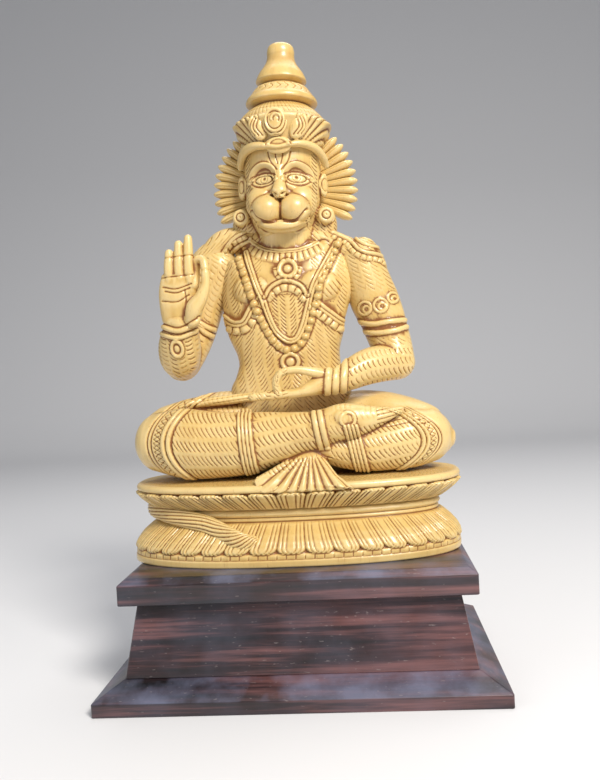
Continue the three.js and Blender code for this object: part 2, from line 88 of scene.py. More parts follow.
def make_camera():
    """Looks along +Y after a quarter turn about X, and is turned by roll, pitch and yaw from there."""
    data = bpy.data.cameras.new("camera")
    data.sensor_width = 36.0
    data.lens = FOCAL_PIXELS * data.sensor_width / FRAME_HEIGHT
    data.shift_x = (FRAME_WIDTH / 2 - CENTRE_PIXEL[0]) / FRAME_HEIGHT
    data.shift_y = (CENTRE_PIXEL[1] - FRAME_HEIGHT / 2) / FRAME_HEIGHT
    data.clip_start = 0.01
    camera = bpy.data.objects.new("camera", data)
    pose = Matrix.Translation([v * MM for v in CAMERA_MM])
    for angle, axis in ((YAW, "Z"), (PITCH, "X"), (ROLL, "Y"), (math.pi / 2, "X")):
        pose = pose @ Matrix.Rotation(angle, 4, axis)
    camera.matrix_world = pose
    bpy.context.scene.collection.objects.link(camera)
    bpy.context.scene.camera = camera
    return camera


print("camera lens", round(make_camera().data.lens, 2), "mm")


# %% Lamps and floor
def add_lamp(name, place, target, size, power, colour):
    data = bpy.data.lights.new(name, "AREA")
    data.shape = "RECTANGLE"
    data.size, data.size_y = size
    data.energy = power
    data.color = colour
    lamp = bpy.data.objects.new(name, data)
    aim = Vector(target) - Vector(place)
    lamp.matrix_world = Matrix.Translation(place) @ aim.to_track_quat("-Z", "Y").to_matrix().to_4x4()
    bpy.context.scene.collection.objects.link(lamp)


FLOOR_HALF = 4.0
BEND_START, BEND_LENGTH, BEND_RISE = 1.2, 2.0, 3.0


def make_floor():
    """A pale sheet that lies flat and bends up behind: height = rise * smoothstep of the way back."""
    across = np.linspace(-FLOOR_HALF, FLOOR_HALF, 2)
    back = np.linspace(-FLOOR_HALF, FLOOR_HALF, 81)
    share = np.clip((back - BEND_START) / BEND_LENGTH, 0, 1)
    height = BEND_RISE * share**2 * (3 - 2 * share)
    xs, ys = np.meshgrid(across, back)
    verts = np.stack([xs, ys, np.repeat(height[:, None], 2, axis=1)], axis=-1).reshape(-1, 3)
    faces = [(2 * i, 2 * i + 1, 2 * i + 3, 2 * i + 2) for i in range(len(back) - 1)]
    mesh = bpy.data.meshes.new("studio_floor")
    mesh.from_pydata(verts.tolist(), [], faces)
    mesh.polygons.foreach_set("use_smooth", [True] * len(faces))
    floor = bpy.data.objects.new("studio_floor", mesh)
    bpy.context.scene.collection.objects.link(floor)
    paint = bpy.data.materials.new("studio_floor")
    paint.use_nodes = True
    shader = paint.node_tree.nodes["Principled BSDF"]
    shader.inputs["Base Color"].default_value = (0.72, 0.72, 0.74, 1)
    shader.inputs["Roughness"].default_value = 0.9
    mesh.materials.append(paint)


def light_the_studio():
    aim = (0.0, 0.0, 0.17)
    add_lamp("key", (0.55, -0.85, 0.95), aim, (0.42, 0.42), 22.0, (1.0, 0.96, 0.89))
    add_lamp("fill", (-1.0, -0.7, 0.5), aim, (0.9, 0.9), 3.2, (0.92, 0.96, 1.0))
    add_lamp("top", (0.1, 0.35, 1.2), aim, (0.8, 0.8), 5.0, (1.0, 1.0, 1.0))
    world = bpy.data.worlds.new("studio")
    world.use_nodes = True
    backdrop = world.node_tree.nodes["Background"]
    backdrop.inputs["Color"].default_value = (0.86, 0.88, 0.92, 1)
    backdrop.inputs["Strength"].default_value = 0.3
    bpy.context.scene.world = world


make_floor()
light_the_studio()
bpy.context.scene.view_settings.view_transform = "Standard"
print("floor and three lamps are in place")

# %% [markdown]
# ## Shader maths
# The nodes could be placed by hand. A small class that wraps a socket adds them instead, so that a
# pattern reads as a sum of noises and is easy to change.


# %% Shader maths helper
class Val:
    """One value in a shader. Sums, products and the like on it add their Math nodes."""

    def __init__(self, paint, socket):
        self.paint = paint
        self.socket = socket

    def math(self, operation, *others):
        node = self.paint.node("ShaderNodeMath", {"operation": operation})
        for slot, value in zip(node.inputs, (self, *others)):
            self.paint.feed(slot, value)
        return Val(self.paint, node.outputs[0])

    def __add__(self, other):
        return self.math("ADD", other)

    def __sub__(self, other):
        return self.math("SUBTRACT", other)

    def __mul__(self, other):
        return self.math("MULTIPLY", other)

    __radd__ = __add__

    def clip(self, low, high):
        node = self.paint.node(
            "ShaderNodeMapRange", {"clamp": True}, {"Value": self, "From Min": low, "From Max": high}
        )
        return Val(self.paint, node.outputs[0])


class Paint:
    """A material whose nodes come from one method: type, settings, then values or links."""

    def __init__(self, name):
        self.material = bpy.data.materials.new(name)
        self.material.use_nodes = True
        self.tree = self.material.node_tree
        self.shader = self.tree.nodes["Principled BSDF"]
        self.place = self.node("ShaderNodeTexCoord").outputs["Object"]

    def node(self, kind, settings=None, values=None):
        node = self.tree.nodes.new(kind)
        for key, value in (settings or {}).items():
            if key == "stops":
                ramp = node.color_ramp
                for i, (spot, colour) in enumerate(value):
                    stop = ramp.elements[i] if i < 2 else ramp.elements.new(spot)
                    stop.position = spot
                    stop.color = (*colour, 1)
            else:
                setattr(node, key, value)
        for key, value in (values or {}).items():
            self.feed(node.inputs[key], value)
        return node

    def feed(self, slot, value):
        if isinstance(value, Val):
            self.tree.links.new(value.socket, slot)
        elif isinstance(value, bpy.types.NodeSocket):
            self.tree.links.new(value, slot)
        elif hasattr(value, "__len__") and len(value) == 3 and len(slot.default_value) == 4:
            slot.default_value = (*value, 1)
        else:
            slot.default_value = value

    def set(self, **values):
        for key, value in values.items():
            self.feed(self.shader.inputs[key.replace("_", " ")], value)

    def noise(self, scale, detail=3.0, stretch=(1, 1, 1), roughness=0.55):
        grain = self.node("ShaderNodeMapping", {}, {"Vector": self.place, "Scale": stretch})
        cloud = self.node(
            "ShaderNodeTexNoise",
            {},
            {"Vector": grain.outputs[0], "Scale": scale, "Detail": detail, "Roughness": roughness},
        )
        return Val(self, cloud.outputs["Fac"])

    def mix(self, factor, first, second):
        node = self.node("ShaderNodeMix", {"data_type": "RGBA"})
        for slot, value in zip((0, 6, 7), (factor, first, second)):  # the colour mix's own sockets
            self.feed(node.inputs[slot], value)
        return node.outputs[2]

    def bump(self, height, distance, strength):
        values = {"Height": height, "Distance": distance, "Strength": strength}
        return self.node("ShaderNodeBump", {}, values).outputs[0]


print("shader helpers ready")

# %% [markdown]
# ## Rosewood
# The plinth's boards are dark rosewood: purple-brown, with black streaks that run along the boards,
# open pores, and a satin polish. The flat bevels and tops carry a mottled bluish colour that is
# partly dust and partly a painted sheen, stronger on the faces that look up. An image could be
# wrapped round the boards, but noise that is stretched along the board has no seam at the corners.


# %% Rosewood material
def make_rosewood(name):
    paint = Paint(name)
    normal = paint.node("ShaderNodeNewGeometry").outputs["Normal"]
    axes = paint.node("ShaderNodeSeparateXYZ", {}, {"Vector": normal})
    facing_up = Val(paint, axes.outputs["Z"]).clip(0.25, 0.8)
    streak = paint.noise(190.0, 4.0, (0.05, 0.3, 1), 0.62)
    fine = paint.noise(620.0, 3.0, (0.03, 0.2, 1), 0.6)
    broad = paint.noise(17.0, 2.0, (0.3, 1, 1))
    pores = paint.noise(1000.0, 1.0, (0.3, 1, 1))
    tone = (streak * 0.6 + fine * 0.15 + broad * 0.25).clip(0.4, 0.62)
    stops = [(0.0, (0.003, 0.002, 0.003)), (0.4, (0.022, 0.009, 0.011)), (1.0, (0.17, 0.07, 0.066))]
    ramp = paint.node("ShaderNodeValToRGB", {"stops": stops}, {"Fac": tone})
    red = paint.mix(broad.clip(0.5, 0.7) * 0.5, ramp.outputs[0], (0.085, 0.02, 0.016))
    # Partly dust and partly a painted bluish sheen, stronger on the faces that look up, which stands in
    # for the polish's reflections.
    dust_and_sheen = paint.noise(38.0, 5.0).clip(0.38, 0.66)
    painted_sheen = dust_and_sheen * (0.1 + facing_up * 0.45)
    colour = paint.mix(painted_sheen, red, (0.18, 0.20, 0.31))
    pore = pores.clip(0.7, 0.76)
    paint.set(Base_Color=paint.mix(pore * 0.16, colour, (0.5, 0.42, 0.4)))
    paint.set(Roughness=0.3 + dust_and_sheen * 0.2 + facing_up * 0.12)
    paint.set(Normal=paint.bump(streak * 0.5 + fine * 0.4 - pore, 0.00012, 0.6))
    paint.set(Coat_Weight=0.35, Coat_Roughness=0.2)
    return paint.material


rosewood = make_rosewood("rosewood")
print("rosewood ready")

# %% [markdown]
# ## Pale wood
# The carving is a pale, close-grained wood under varnish. The cuts hold more stain and less light,
# so each mesh carries a number that says how deep in a hollow a place lies. By that number the
# colour goes darker in the cuts, partly as stain and partly as painted shade, and lighter on the
# raised places, as a painted highlight. Blender's pointiness gives such a number too, but it looks
# only as far as the next vertex.


# %% Pale wood material
def make_pale_wood(name):
    paint = Paint(name)
    hollow = Val(paint, paint.node("ShaderNodeAttribute", {"attribute_name": "hollow"}).outputs["Fac"])
    grain = paint.noise(240.0, 3.0, (1, 1, 0.06))
    cloud = paint.noise(28.0, 3.0)
    flecks = paint.noise(1300.0, 1.0, (1, 1, 0.12))
    light = paint.mix(cloud.clip(0.35, 0.7), (0.64, 0.45, 0.165), (0.57, 0.365, 0.105))
    lined = paint.mix(grain.clip(0.5, 0.75) * 0.35, light, (0.40, 0.21, 0.05))
    # Darker in the cuts: partly stain, partly painted shade.
    stain_and_painted_shade = paint.mix(hollow.clip(0.5, 0.9), lined, (0.21, 0.07, 0.008))
    # Lighter on the raised places: a painted highlight.
    highlit = paint.mix(hollow.clip(0.45, 0.05) * 0.4, stain_and_painted_shade, (0.80, 0.64, 0.33))
    fleck = flecks.clip(0.66, 0.74)
    paint.set(Base_Color=paint.mix(fleck * 0.35, highlit, (0.32, 0.14, 0.03)))
    paint.set(Roughness=0.36 + hollow.clip(0.5, 1.0) * 0.3 + cloud * 0.08)
    paint.set(Normal=paint.bump(grain * 0.5 - fleck, 0.00008, 0.5))
    paint.set(Coat_Weight=0.4, Coat_Roughness=0.2)
    paint.shader.inputs["Subsurface Weight"].default_value = 0.06
    paint.shader.inputs["Subsurface Radius"].default_value = (0.004, 0.002, 0.0008)
    return paint.material


pale_wood = make_pale_wood("pale_wood")
print("pale wood ready")

# %% [markdown]
# ## Surfaces as arrays
# A limb is a row of ovals along a smooth line. A tier is a profile carried round an outline.
# Closed shells are welded by a voxel remesh where the wood runs on from one form to the next. A
# boolean would join them as well, but it leaves a hard crease where the block has a soft one.

# %% Smooth lines and limbs
UP = np.array([0.0, 0.0, 1.0])
SIDE = np.array([1.0, 0.0, 0.0])
FRONT = np.array([0.0, 1.0, 0.0])


def smooth_line(points, count):
    """Catmull-Rom: between two points, a cubic whose end slopes are half the step past each end."""
    p = np.asarray(points, float)
    p = np.vstack([2 * p[0] - p[1], p, 2 * p[-1] - p[-2]])
    spot = np.linspace(0, len(p) - 3, count)
    i = np.minimum(spot.astype(int), len(p) - 4)
    t = (spot - i)[:, None]
    a, b, c, d = p[i], p[i + 1], p[i + 2], p[i + 3]
    return 0.5 * (
        2 * b + (c - a) * t + (2 * a - 5 * b + 4 * c - d) * t**2 + (3 * b - a - 3 * c + d) * t**3
    )


def bent(value, power):
    """sign(v) |v|^(2 / power): of a cosine or sine, it makes an oval squarer as the power grows."""
    return np.sign(value) * np.abs(value) ** (2 / power)


class Limb:
    """Ovals along a line: centre + width * cos(angle) * side + thickness * sin(angle) * other."""

    def __init__(self, stations, wide=UP, count=40, power=2.0):
        rows = [(*s[:3], s[3], s[4] if len(s) > 4 else s[3]) for s in stations]
        line = smooth_line(rows, count)
        self.centre, self.size, self.power = line[:, :3], line[:, 3:], power
        self.ahead = np.gradient(self.centre, axis=0)
        self.ahead /= np.linalg.norm(self.ahead, axis=1, keepdims=True)
        self.side = wide - (self.ahead @ wide)[:, None] * self.ahead
        self.side /= np.linalg.norm(self.side, axis=1, keepdims=True)
        self.other = np.cross(self.ahead, self.side)
        steps = np.linalg.norm(np.diff(self.centre, axis=0), axis=1)
        self.along = np.concatenate([[0], np.cumsum(steps)])

    def rings(self, sides, ends=(1, 1)):
        """The ovals, and past each end ovals that shrink with the cosine as they run out by the sine."""
        angle = 2 * np.pi * np.arange(sides) / sides
        cos, sin = bent(np.cos(angle), self.power), bent(np.sin(angle), self.power)

        def oval(i, shrink=1.0, shift=0.0):
            a, b = self.size[i] * shrink
            middle = self.centre[i] + self.ahead[i] * shift * self.size[i].min()
            return middle + a * cos[:, None] * self.side[i] + b * sin[:, None] * self.other[i]

        turn = np.linspace(0, np.pi / 2, 7)[1:-1]
        first = [oval(0, math.cos(t), -ends[0] * math.sin(t)) for t in turn[::-1]] if ends[0] else []
        last = [oval(-1, math.cos(t), ends[1] * math.sin(t)) for t in turn] if ends[1] else []
        return np.array(first + [oval(i) for i in range(len(self.centre))] + last)

    def shell(self, sides=32, ends=(1, 1)):
        return closed_skin(self.rings(sides, ends))

    def local(self, points):
        """The nearest place on the line, by distance over size: the run to it and the angle round it."""
        best = np.full(len(points), np.inf)
        index = np.zeros(len(points), int)
        for i, (c, s) in enumerate(zip(self.centre, self.size)):
            reach = np.linalg.norm(points - c, axis=1) / s.mean()
            closer = reach < best
            best[closer] = reach[closer]
            index[closer] = i
        offset = points - self.centre[index]
        across = (offset * self.side[index]).sum(1) / self.size[index, 0]
        over = (offset * self.other[index]).sum(1) / self.size[index, 1]
        shift = (offset * self.ahead[index]).sum(1)
        return self.along[index] + shift, np.arctan2(over, across)


def closed_skin(rings):
    """Quads between rings of equal length and a fan over each end; the ends' middles are their means."""
    rows, cols = rings.shape[:2]
    verts = np.vstack([rings.reshape(-1, 3), rings[0].mean(0), rings[-1].mean(0)])
    i, j = np.meshgrid(np.arange(rows - 1), np.arange(cols), indexing="ij")
    a = (i * cols + j).ravel()
    b = (i * cols + (j + 1) % cols).ravel()
    quads = np.stack([a, b, b + cols, a + cols], axis=1)
    j = np.arange(cols)
    k = (j + 1) % cols
    last = (rows - 1) * cols
    low = np.stack([np.full(cols, rows * cols), k, j], axis=1)
    high = np.stack([np.full(cols, rows * cols + 1), last + j, last + k], axis=1)
    return outward(verts, quads, np.vstack([low, high]))


def outward(verts, quads, tris):
    """Turns every face round when the enclosed volume comes out negative."""
    split = np.vstack([tris, quads[:, [0, 1, 2]], quads[:, [0, 2, 3]]])
    p = verts[split]
    if np.einsum("ij,ij->i", p[:, 0], np.cross(p[:, 1], p[:, 2])).sum() < 0:
        quads, tris = quads[:, ::-1], tris[:, ::-1]
    return verts, quads, tris


def ball(centre, radii, sides=28, rows=16, turn=0.0):
    """An ellipsoid: place = centre + radii * (cos a sin b, sin a sin b, cos b), turned about Y."""
    b = np.linspace(0, np.pi, rows + 2)[1:-1, None]
    a = 2 * np.pi * np.arange(sides)[None, :] / sides
    unit = np.stack([np.cos(a) * np.sin(b), np.sin(a) * np.sin(b), np.cos(b) + 0 * a], axis=-1)
    place = unit * np.array(radii)
    c, s = math.cos(turn), math.sin(turn)
    place = place @ np.array([[c, 0, -s], [0, 1, 0], [s, 0, c]])
    return closed_skin(place + np.array(centre))


print("limb and skin helpers ready")


# %% Welding shells into one carved surface
def make_object(name, verts, quads, tris):
    """A mesh from arrays: places in millimetres, then the corners of its quads and triangles."""
    mesh = bpy.data.meshes.new(name)
    loops = np.concatenate([quads.ravel(), tris.ravel()])
    totals = np.concatenate([np.full(len(quads), 4), np.full(len(tris), 3)])
    mesh.vertices.add(len(verts))
    mesh.vertices.foreach_set("co", (np.asarray(verts) * MM).ravel())
    mesh.loops.add(len(loops))
    mesh.loops.foreach_set("vertex_index", loops)
    mesh.polygons.add(len(totals))
    mesh.polygons.foreach_set("loop_start", np.concatenate([[0], np.cumsum(totals)[:-1]]))
    mesh.polygons.foreach_set("loop_total", totals)
    mesh.update(calc_edges=True)
    mesh.validate()
    piece = bpy.data.objects.new(name, mesh)
    bpy.context.scene.collection.objects.link(piece)
    return piece


def joined(shells):
    """One shell from many: each one's corners are counted on from the last one's places."""
    start, parts = 0, ([], [], [])
    for verts, quads, tris in shells:
        for part, rows in zip(parts, (verts, quads + start, tris + start)):
            part.append(rows)
        start += len(verts)
    return [np.vstack(part) for part in parts]


def settle(piece):
    """Gives the piece the mesh that its modifiers make, and takes them off."""
    shaped = piece.evaluated_get(bpy.context.evaluated_depsgraph_get())
    mesh = bpy.data.meshes.new_from_object(shaped)
    piece.modifiers.clear()
    piece.data = mesh


def weld(name, shells, voxel, ease=2):
    """Joins closed shells, remeshes them on a grid of the voxel's size and eases the steps."""
    piece = make_object(name, *joined(shells))
    remesh = piece.modifiers.new("weld", "REMESH")
    remesh.mode = "VOXEL"
    remesh.voxel_size = voxel * MM
    soften = piece.modifiers.new("ease", "SMOOTH")
    soften.factor = 0.5
    soften.iterations = ease
    settle(piece)
    return piece


def read_mesh(piece):
    """Vertex places in millimetres, outward directions and edges, as arrays."""
    mesh = piece.data
    places = np.empty(len(mesh.vertices) * 3)
    mesh.vertices.foreach_get("co", places)
    directions = np.empty(len(mesh.vertices) * 3)
    mesh.vertex_normals.foreach_get("vector", directions)
    edges = np.empty(len(mesh.edges) * 2, int)
    mesh.edges.foreach_get("vertices", edges)
    return places.reshape(-1, 3) / MM, directions.reshape(-1, 3), edges.reshape(-1, 2)


def eased(values, edges, rounds):
    """Each round moves a value halfway to the mean of its neighbours."""
    count = np.bincount(edges.ravel(), minlength=len(values)).astype(float)[:, None]
    values = values.copy()
    for _ in range(rounds):
        total = np.zeros_like(values)
        for axis in range(values.shape[1]):
            for a, b in ((0, 1), (1, 0)):
                total[:, axis] += np.bincount(edges[:, a], values[edges[:, b], axis], len(values))
        values = 0.5 * values + 0.5 * total / count
    return values


def finish_carving(piece, reach=10, depth=0.22):
    """Stores how far each place lies below its eased surroundings, gives the wood and rides the root.
    Wide surroundings count a quarter as much as near ones. The depth is where the number meets 1."""
    places, directions, edges = read_mesh(piece)
    near = eased(places, edges, reach)
    far = eased(near, edges, reach * 5)
    below = (((near - places) + 0.25 * (far - places)) * directions).sum(1)
    hollow = np.clip(0.5 + 0.5 * below / depth, 0, 1)
    piece.data.attributes.new("hollow", "FLOAT", "POINT").data.foreach_set("value", hollow)
    piece.data.polygons.foreach_set("use_smooth", np.ones(len(piece.data.polygons), bool))
    piece.data.materials.clear()
    piece.data.materials.append(pale_wood)
    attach(piece, "root")
    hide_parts("hanuman_figure")
    print(piece.name, len(piece.data.polygons), "faces")


def seated(shell):
    """From grid squares above the seat to millimetres in the frame."""
    verts, quads, tris = shell
    return verts * SQUARE + np.array([0, 0, SEAT_Z]), quads, tris


def on_grid(places):
    """From millimetres in the frame back to grid squares above the seat."""
    return (places - np.array([0, 0, SEAT_Z])) / SQUARE


print("welding helpers ready")

# %% [markdown]
# ## Marks of the gouge
# On the real piece the fur, the cords and the hems were cut after the forms. Here they are heights
# added along the surface: grooves, cords, lobes and rows of strokes, measured on the front view.
# Brushes could sculpt them, but then no mark could be moved or deepened by changing a number.


# %% Relief helpers
class Track:
    """A smooth line on the front view, with how far each place lies along it and beside it."""

    def __init__(self, points, count=70):
        self.line = smooth_line(points, count)
        steps = np.linalg.norm(np.diff(self.line, axis=0), axis=1)
        self.run = np.concatenate([[0], np.cumsum(steps)])

    def measure(self, flat, reach):
        """The nearest piece of the line gives the run to it and the signed distance, or infinity."""
        along, beside = np.zeros(len(flat)), np.full(len(flat), np.inf)
        box = (flat > self.line.min(0) - reach) & (flat < self.line.max(0) + reach)
        near = np.flatnonzero(box.all(1))
        place, best = flat[near], np.full(len(near), np.inf)
        run, sign = np.zeros(len(near)), np.ones(len(near))
        for a, b, start in zip(self.line[:-1], self.line[1:], self.run):
            length = np.linalg.norm(b - a)
            ahead = (b - a) / length
            off = place - a
            t = np.clip(off @ ahead, 0, length)
            far = np.linalg.norm(off - t[:, None] * ahead, axis=1)
            closer = far < best
            best[closer], run[closer] = far[closer], start + t[closer]
            sign[closer] = np.where(ahead[0] * off[closer, 1] > ahead[1] * off[closer, 0], 1, -1)
        along[near], beside[near] = run, best * sign
        return along, beside


def dip(away, width):
    """A soft groove, 1 deep in its middle: exp(-(away / width)^2)."""
    return np.exp(-((away / width) ** 2))


def cord(away, half):
    """A half-round ridge: sqrt(1 - (away / half)^2)."""
    return np.sqrt(np.clip(1 - (away / half) ** 2, 0, 1))


def plateau(away, half, soft):
    """1 within the half width, falling to 0 over the soft edge."""
    return np.clip((half - np.abs(away)) / soft, 0, 1)


def lobes(along, pitch):
    """A row of round bumps: |sin| to the power 0.7."""
    return np.abs(np.sin(np.pi * along / pitch)) ** 0.7


def off_beat(along, spacing):
    """Distance to the nearest multiple of the spacing."""
    return np.abs(along - spacing * np.round(along / spacing))


def strokes(along, across, spacing, pitch, slant, width=0.34, turn=False):
    """Rows of short bent cuts. Inside a row the cut's place shifts by the slant times the way across.
    The cuts differ a little in place and depth, by the sine of their number and their row's."""
    row = np.floor(across / pitch)
    part = across / pitch - row
    side = np.where(row % 2 == 0, 1.0, -1.0) if turn else 1.0
    spot = along / spacing + side * slant * part + 0.26 * np.sin(np.pi * part) + 0.37 * row
    cut = np.round(spot)
    away = np.abs(spot - cut + 0.1 * np.sin(7.1 * cut + 3.3 * row)) * spacing
    deep = 0.85 + 0.3 * np.sin(12.9 * cut + 78.2 * row)
    return -dip(away, width) * deep * np.clip(2.4 * np.sin(np.pi * part) - 0.6, 0, 1)


class Relief:
    """Heights in squares over one surface. Where an ornament lies, the fur is left out."""

    def __init__(self, grid, out, front=3.0):
        self.x, self.y, self.z = grid.T
        self.flat = grid[:, [0, 2]]
        self.front = np.clip(-front * out[:, 1], 0, 1)
        self.height = np.zeros(len(grid))
        self.bare = np.ones(len(grid))

    def clear(self, cover):
        """Leaves the fur out where the cover is 1."""
        self.bare *= 1 - np.clip(cover, 0, 1)

    def add(self, amount, cover=0):
        self.height += amount * self.front
        self.clear(cover)

    def oval(self, x, z, wide=1.0, tall=None):
        """How far each place lies from (x, z), counted in half widths and half heights of an oval."""
        return np.hypot((self.x - x) / wide, (self.z - z) / (tall or wide))

    def follow(self, points, reach, shape, mask=1.0):
        """Adds shape(run, distance) along a line, and keeps the fur off it."""
        along, beside = Track(points).measure(self.flat, reach + 1)
        self.add(shape(along, beside) * mask, plateau(beside, reach, 0.6) * mask)

    def ring(self, place, radius, half, height):
        self.add(height * cord(self.oval(*place) - radius, half))

    def disc(self, place, radius, height):
        away = self.oval(*place)
        self.add(height * cord(away, radius), plateau(away, radius + 1, 0.6))

    def fur(self, amount):
        self.height += amount * self.bare


def carve(piece, shape, budget, reach=8, depth=0.2):
    """Moves each vertex along its outward direction, then thins the mesh to the budget of triangles."""
    places, directions, _ = read_mesh(piece)
    height = shape(on_grid(places), directions)
    moved = places + directions * (height * SQUARE)[:, None]
    piece.data.vertices.foreach_set("co", (moved * MM).ravel())
    piece.data.update()
    piece.data.calc_loop_triangles()
    thin = piece.modifiers.new("thin", "DECIMATE")
    thin.ratio = min(1.0, budget / len(piece.data.loop_triangles))
    settle(piece)
    finish_carving(piece, reach, depth)


print("relief helpers ready")

# %% [markdown]
# ## Legs
# The figure sits cross-legged. Each thigh runs out to the knee, and the shin folds back across the
# front. The cloth ends in a chased hem round each knee, and the bare shins are cut with rows of fur.
# Metaballs could blend such forms too. Ovals along a line also say how wide each form is, and where.

# %% Legs
LEFT_THIGH = Limb([
    (-16, 4, 24, 22, 20), (-37, 1, 28, 22, 20), (-50, -2, 27, 21, 20), (-60, -5, 26, 20.3, 19),
    (-70, -8, 25.8, 18, 17.5), (-74.5, -9.5, 25.7, 16, 14), (-79, -10.2, 25.6, 12.8, 11),
    (-82.4, -10.5, 25.5, 9, 8), (-84.6, -10.6, 25.5, 5.4, 5),
])
RIGHT_THIGH = Limb([
    (18, 4, 22, 22, 20), (35, 2, 25, 21.5, 20), (45, 0, 25.4, 20.4, 19.5), (53, -3, 24.6, 19.5, 19),
    (60, -5, 23.7, 18.2, 18), (68, -8, 22.3, 16.2, 16), (74.5, -9.5, 20.6, 13.8, 12.6),
    (78.6, -10.2, 20, 11, 10), (81.6, -10.5, 19.6, 7.8, 7.4), (83.6, -10.6, 19.4, 4.6, 4.4),
])
FRONT_SHIN = Limb([
    (-72, -14, 24.5, 16, 14), (-60, -19, 24, 18.5, 15.5), (-50, -22, 23, 18.3, 15),
    (-37, -24, 22.5, 17.2, 14), (-23.7, -26, 23, 16.2, 13), (-12, -27.5, 24.7, 14.3, 11.5),
    (-4, -28.5, 25.9, 12.7, 10.3), (4, -29.5, 27.3, 10.9, 9.2), (12, -30.5, 28, 9.8, 8.4),
    (18.5, -31.5, 29.4, 9, 8),
])
UNDER_SHIN = Limb([
    (70, -13, 21.5, 14.5, 13), (60, -17, 20.5, 15.5, 14), (50, -20, 19, 14.2, 13),
    (40, -22, 17.7, 12.9, 12), (29, -24, 17.5, 10.9, 10.5), (16, -25, 20.5, 9.2, 9),
    (5, -25, 24, 8, 8),
])
FOOT = Limb([
    (13, -31, 29, 9.2, 8.2), (20, -32, 30.6, 9, 8), (27, -32, 32.1, 9.3, 7.6),
    (35.5, -31, 32.6, 8, 6.4), (45, -29.5, 33.8, 5, 5), (52, -28, 35.3, 2.9, 3.4),
    (57, -27, 36.7, 1.2),
])
SASH = Limb([
    (-12, -13, 47, 2, 2), (-28, -15, 46, 4, 2.6), (-44, -15, 45, 5, 2.6),
    (-56, -13, 43.5, 4.5, 2.2),
], wide=FRONT)
FAN = Limb([
    (9.5, -29, 17, 3, 4), (9, -32.5, 12, 10, 4), (7.5, -36.4, 7, 18, 3.6),
    (6.5, -39.6, 3.4, 24, 2.4), (6, -41.4, 1.2, 25, 1.6), (6, -42.4, -1, 18, 1.1),
], wide=SIDE, power=2.4)

HEEL = (29.5, 33.5)
PLEAT = 12  # degrees round the top of the fan


def hem(r, away, along, fade=1.0):
    """From the bare shin outwards: two ridges, a band with a zigzag cut both ways, and two grooves."""
    zigzag = np.abs((along / 4.6) % 1 - 0.5) * 2
    band = plateau(away - 8.2, 2.6, 0.8)
    crossed = dip(away - 6 - 4.4 * zigzag, 0.5) + dip(away - 10.4 + 4.4 * zigzag, 0.5)
    ridges = cord(away - 1.2, 1.35) + cord(away - 4.3, 1.35)
    grooves = dip(away - 11.8, 0.6) + dip(away - 14.2, 0.6)
    grooves += dip(away + 0.6, 0.6) + dip(away - 2.8, 0.45)
    r.add((0.9 * ridges - 0.6 * crossed * band - 0.8 * grooves) * fade)


def bands(r, away, count, half, mask):
    """A garter of equal half-round ridges."""
    for k in range(count):
        near = away - 2 * half * k
        r.add((1.1 * cord(near - half, half) - 0.4 * dip(near, 0.3)) * mask)
    r.clear(plateau(away - half * count, half * count + 0.6, 0.6) * mask)


def carve_legs(grid, out):
    r = Relief(grid, out)
    x, y, z = r.x, r.y, r.z
    front_z = np.interp(x, FRONT_SHIN.centre[:, 0], FRONT_SHIN.centre[:, 2])
    under_z = np.interp(x, UNDER_SHIN.centre[::-1, 0], UNDER_SHIN.centre[::-1, 2])
    left_away = -62.3 + 0.029 * (z - 24.5) ** 2 - x
    right_away = (x - 66.5 + 0.06 * (z - 20.5) ** 2) / 0.75
    left_knee = (x < -40) & (y < 6)
    right_knee = (x > 40) & (y < 6)
    hem(r, np.where(left_knee, left_away, -99), z)
    hem(r, np.where(right_knee, right_away, -99), z, np.clip((38 - z) / 3, 0, 1))
    shin = plateau(z - front_z, 18, 1.5) * (x < 13) * (left_away < -0.5) * (y < -10)
    under = (x > 20) * (right_away < -0.5) * (z < 31) * (y < -12) * plateau(z - under_z, 14, 1.5)
    bands(r, x + 26.2 + 0.08 * (z - front_z), 4, 0.95, shin)
    bands(r, x - 12 + 0.16 * (z - 29), 2, 1.6, (y < -22) * plateau(z - 28.5, 10.5, 1))
    bands(r, x - 29 + 0.2 * (z - 19), 4, 0.95, under)
    rows = strokes(x, z - front_z + 40, 2.4, 7.3, 1.9) * shin
    rows += strokes(x, z - under_z + 40, 2.4, 6.6, 1.9) * under
    r.fur(rows * 0.5 * r.front)
    thigh = (1 - shin) * (1 - under) * (left_away < 0) * (right_away < 0) * (z > 33)
    r.fur(strokes(x, z - y * 0.6, 2.6, 6.0, 0.8) * 0.2 * thigh)
    turn = np.degrees(np.arctan2(x - 9.5, 21 - z))
    fan = (y < -30 + (z - 18) * 0.6) * (z < 15) * plateau(turn, 66, 3)
    pleat = 1.2 * lobes(turn + PLEAT / 2, PLEAT) - 1.1 + 0.3 * dip(off_beat(turn, PLEAT), 1.4)
    r.add(pleat * fan * np.clip((18 - z) / 8, 0, 1))
    toes = (x > 44) * (z > 28) * (y < -24)
    r.add(-0.5 * dip(off_beat(z - 0.16 * x - 1.2, 2.4), 0.4) * toes)
    r.add(0.5 * cord(r.oval(*HEEL) - 3.6, 0.8) * (y < -28) * (z > 31))
    sash = (np.abs(x + 34) < 24) * (z > 44) * (y < -9)
    r.add(-0.4 * dip(off_beat(z - 0.1 * x - 1.3, 2.6), 0.4) * sash)
    return r.height


def leg_shells():
    shells = [limb.shell(48, (1, 0.4)) for limb in (LEFT_THIGH, RIGHT_THIGH)]
    shells += [limb.shell(40) for limb in (FRONT_SHIN, UNDER_SHIN, FOOT)]
    shells.append(ball((26, -38, 34), (4, 2.6, 4)))
    shells.append(SASH.shell(24, (1, 0)))
    shells.append(FAN.shell(60, (0, 0)))
    return [seated(shell) for shell in shells]


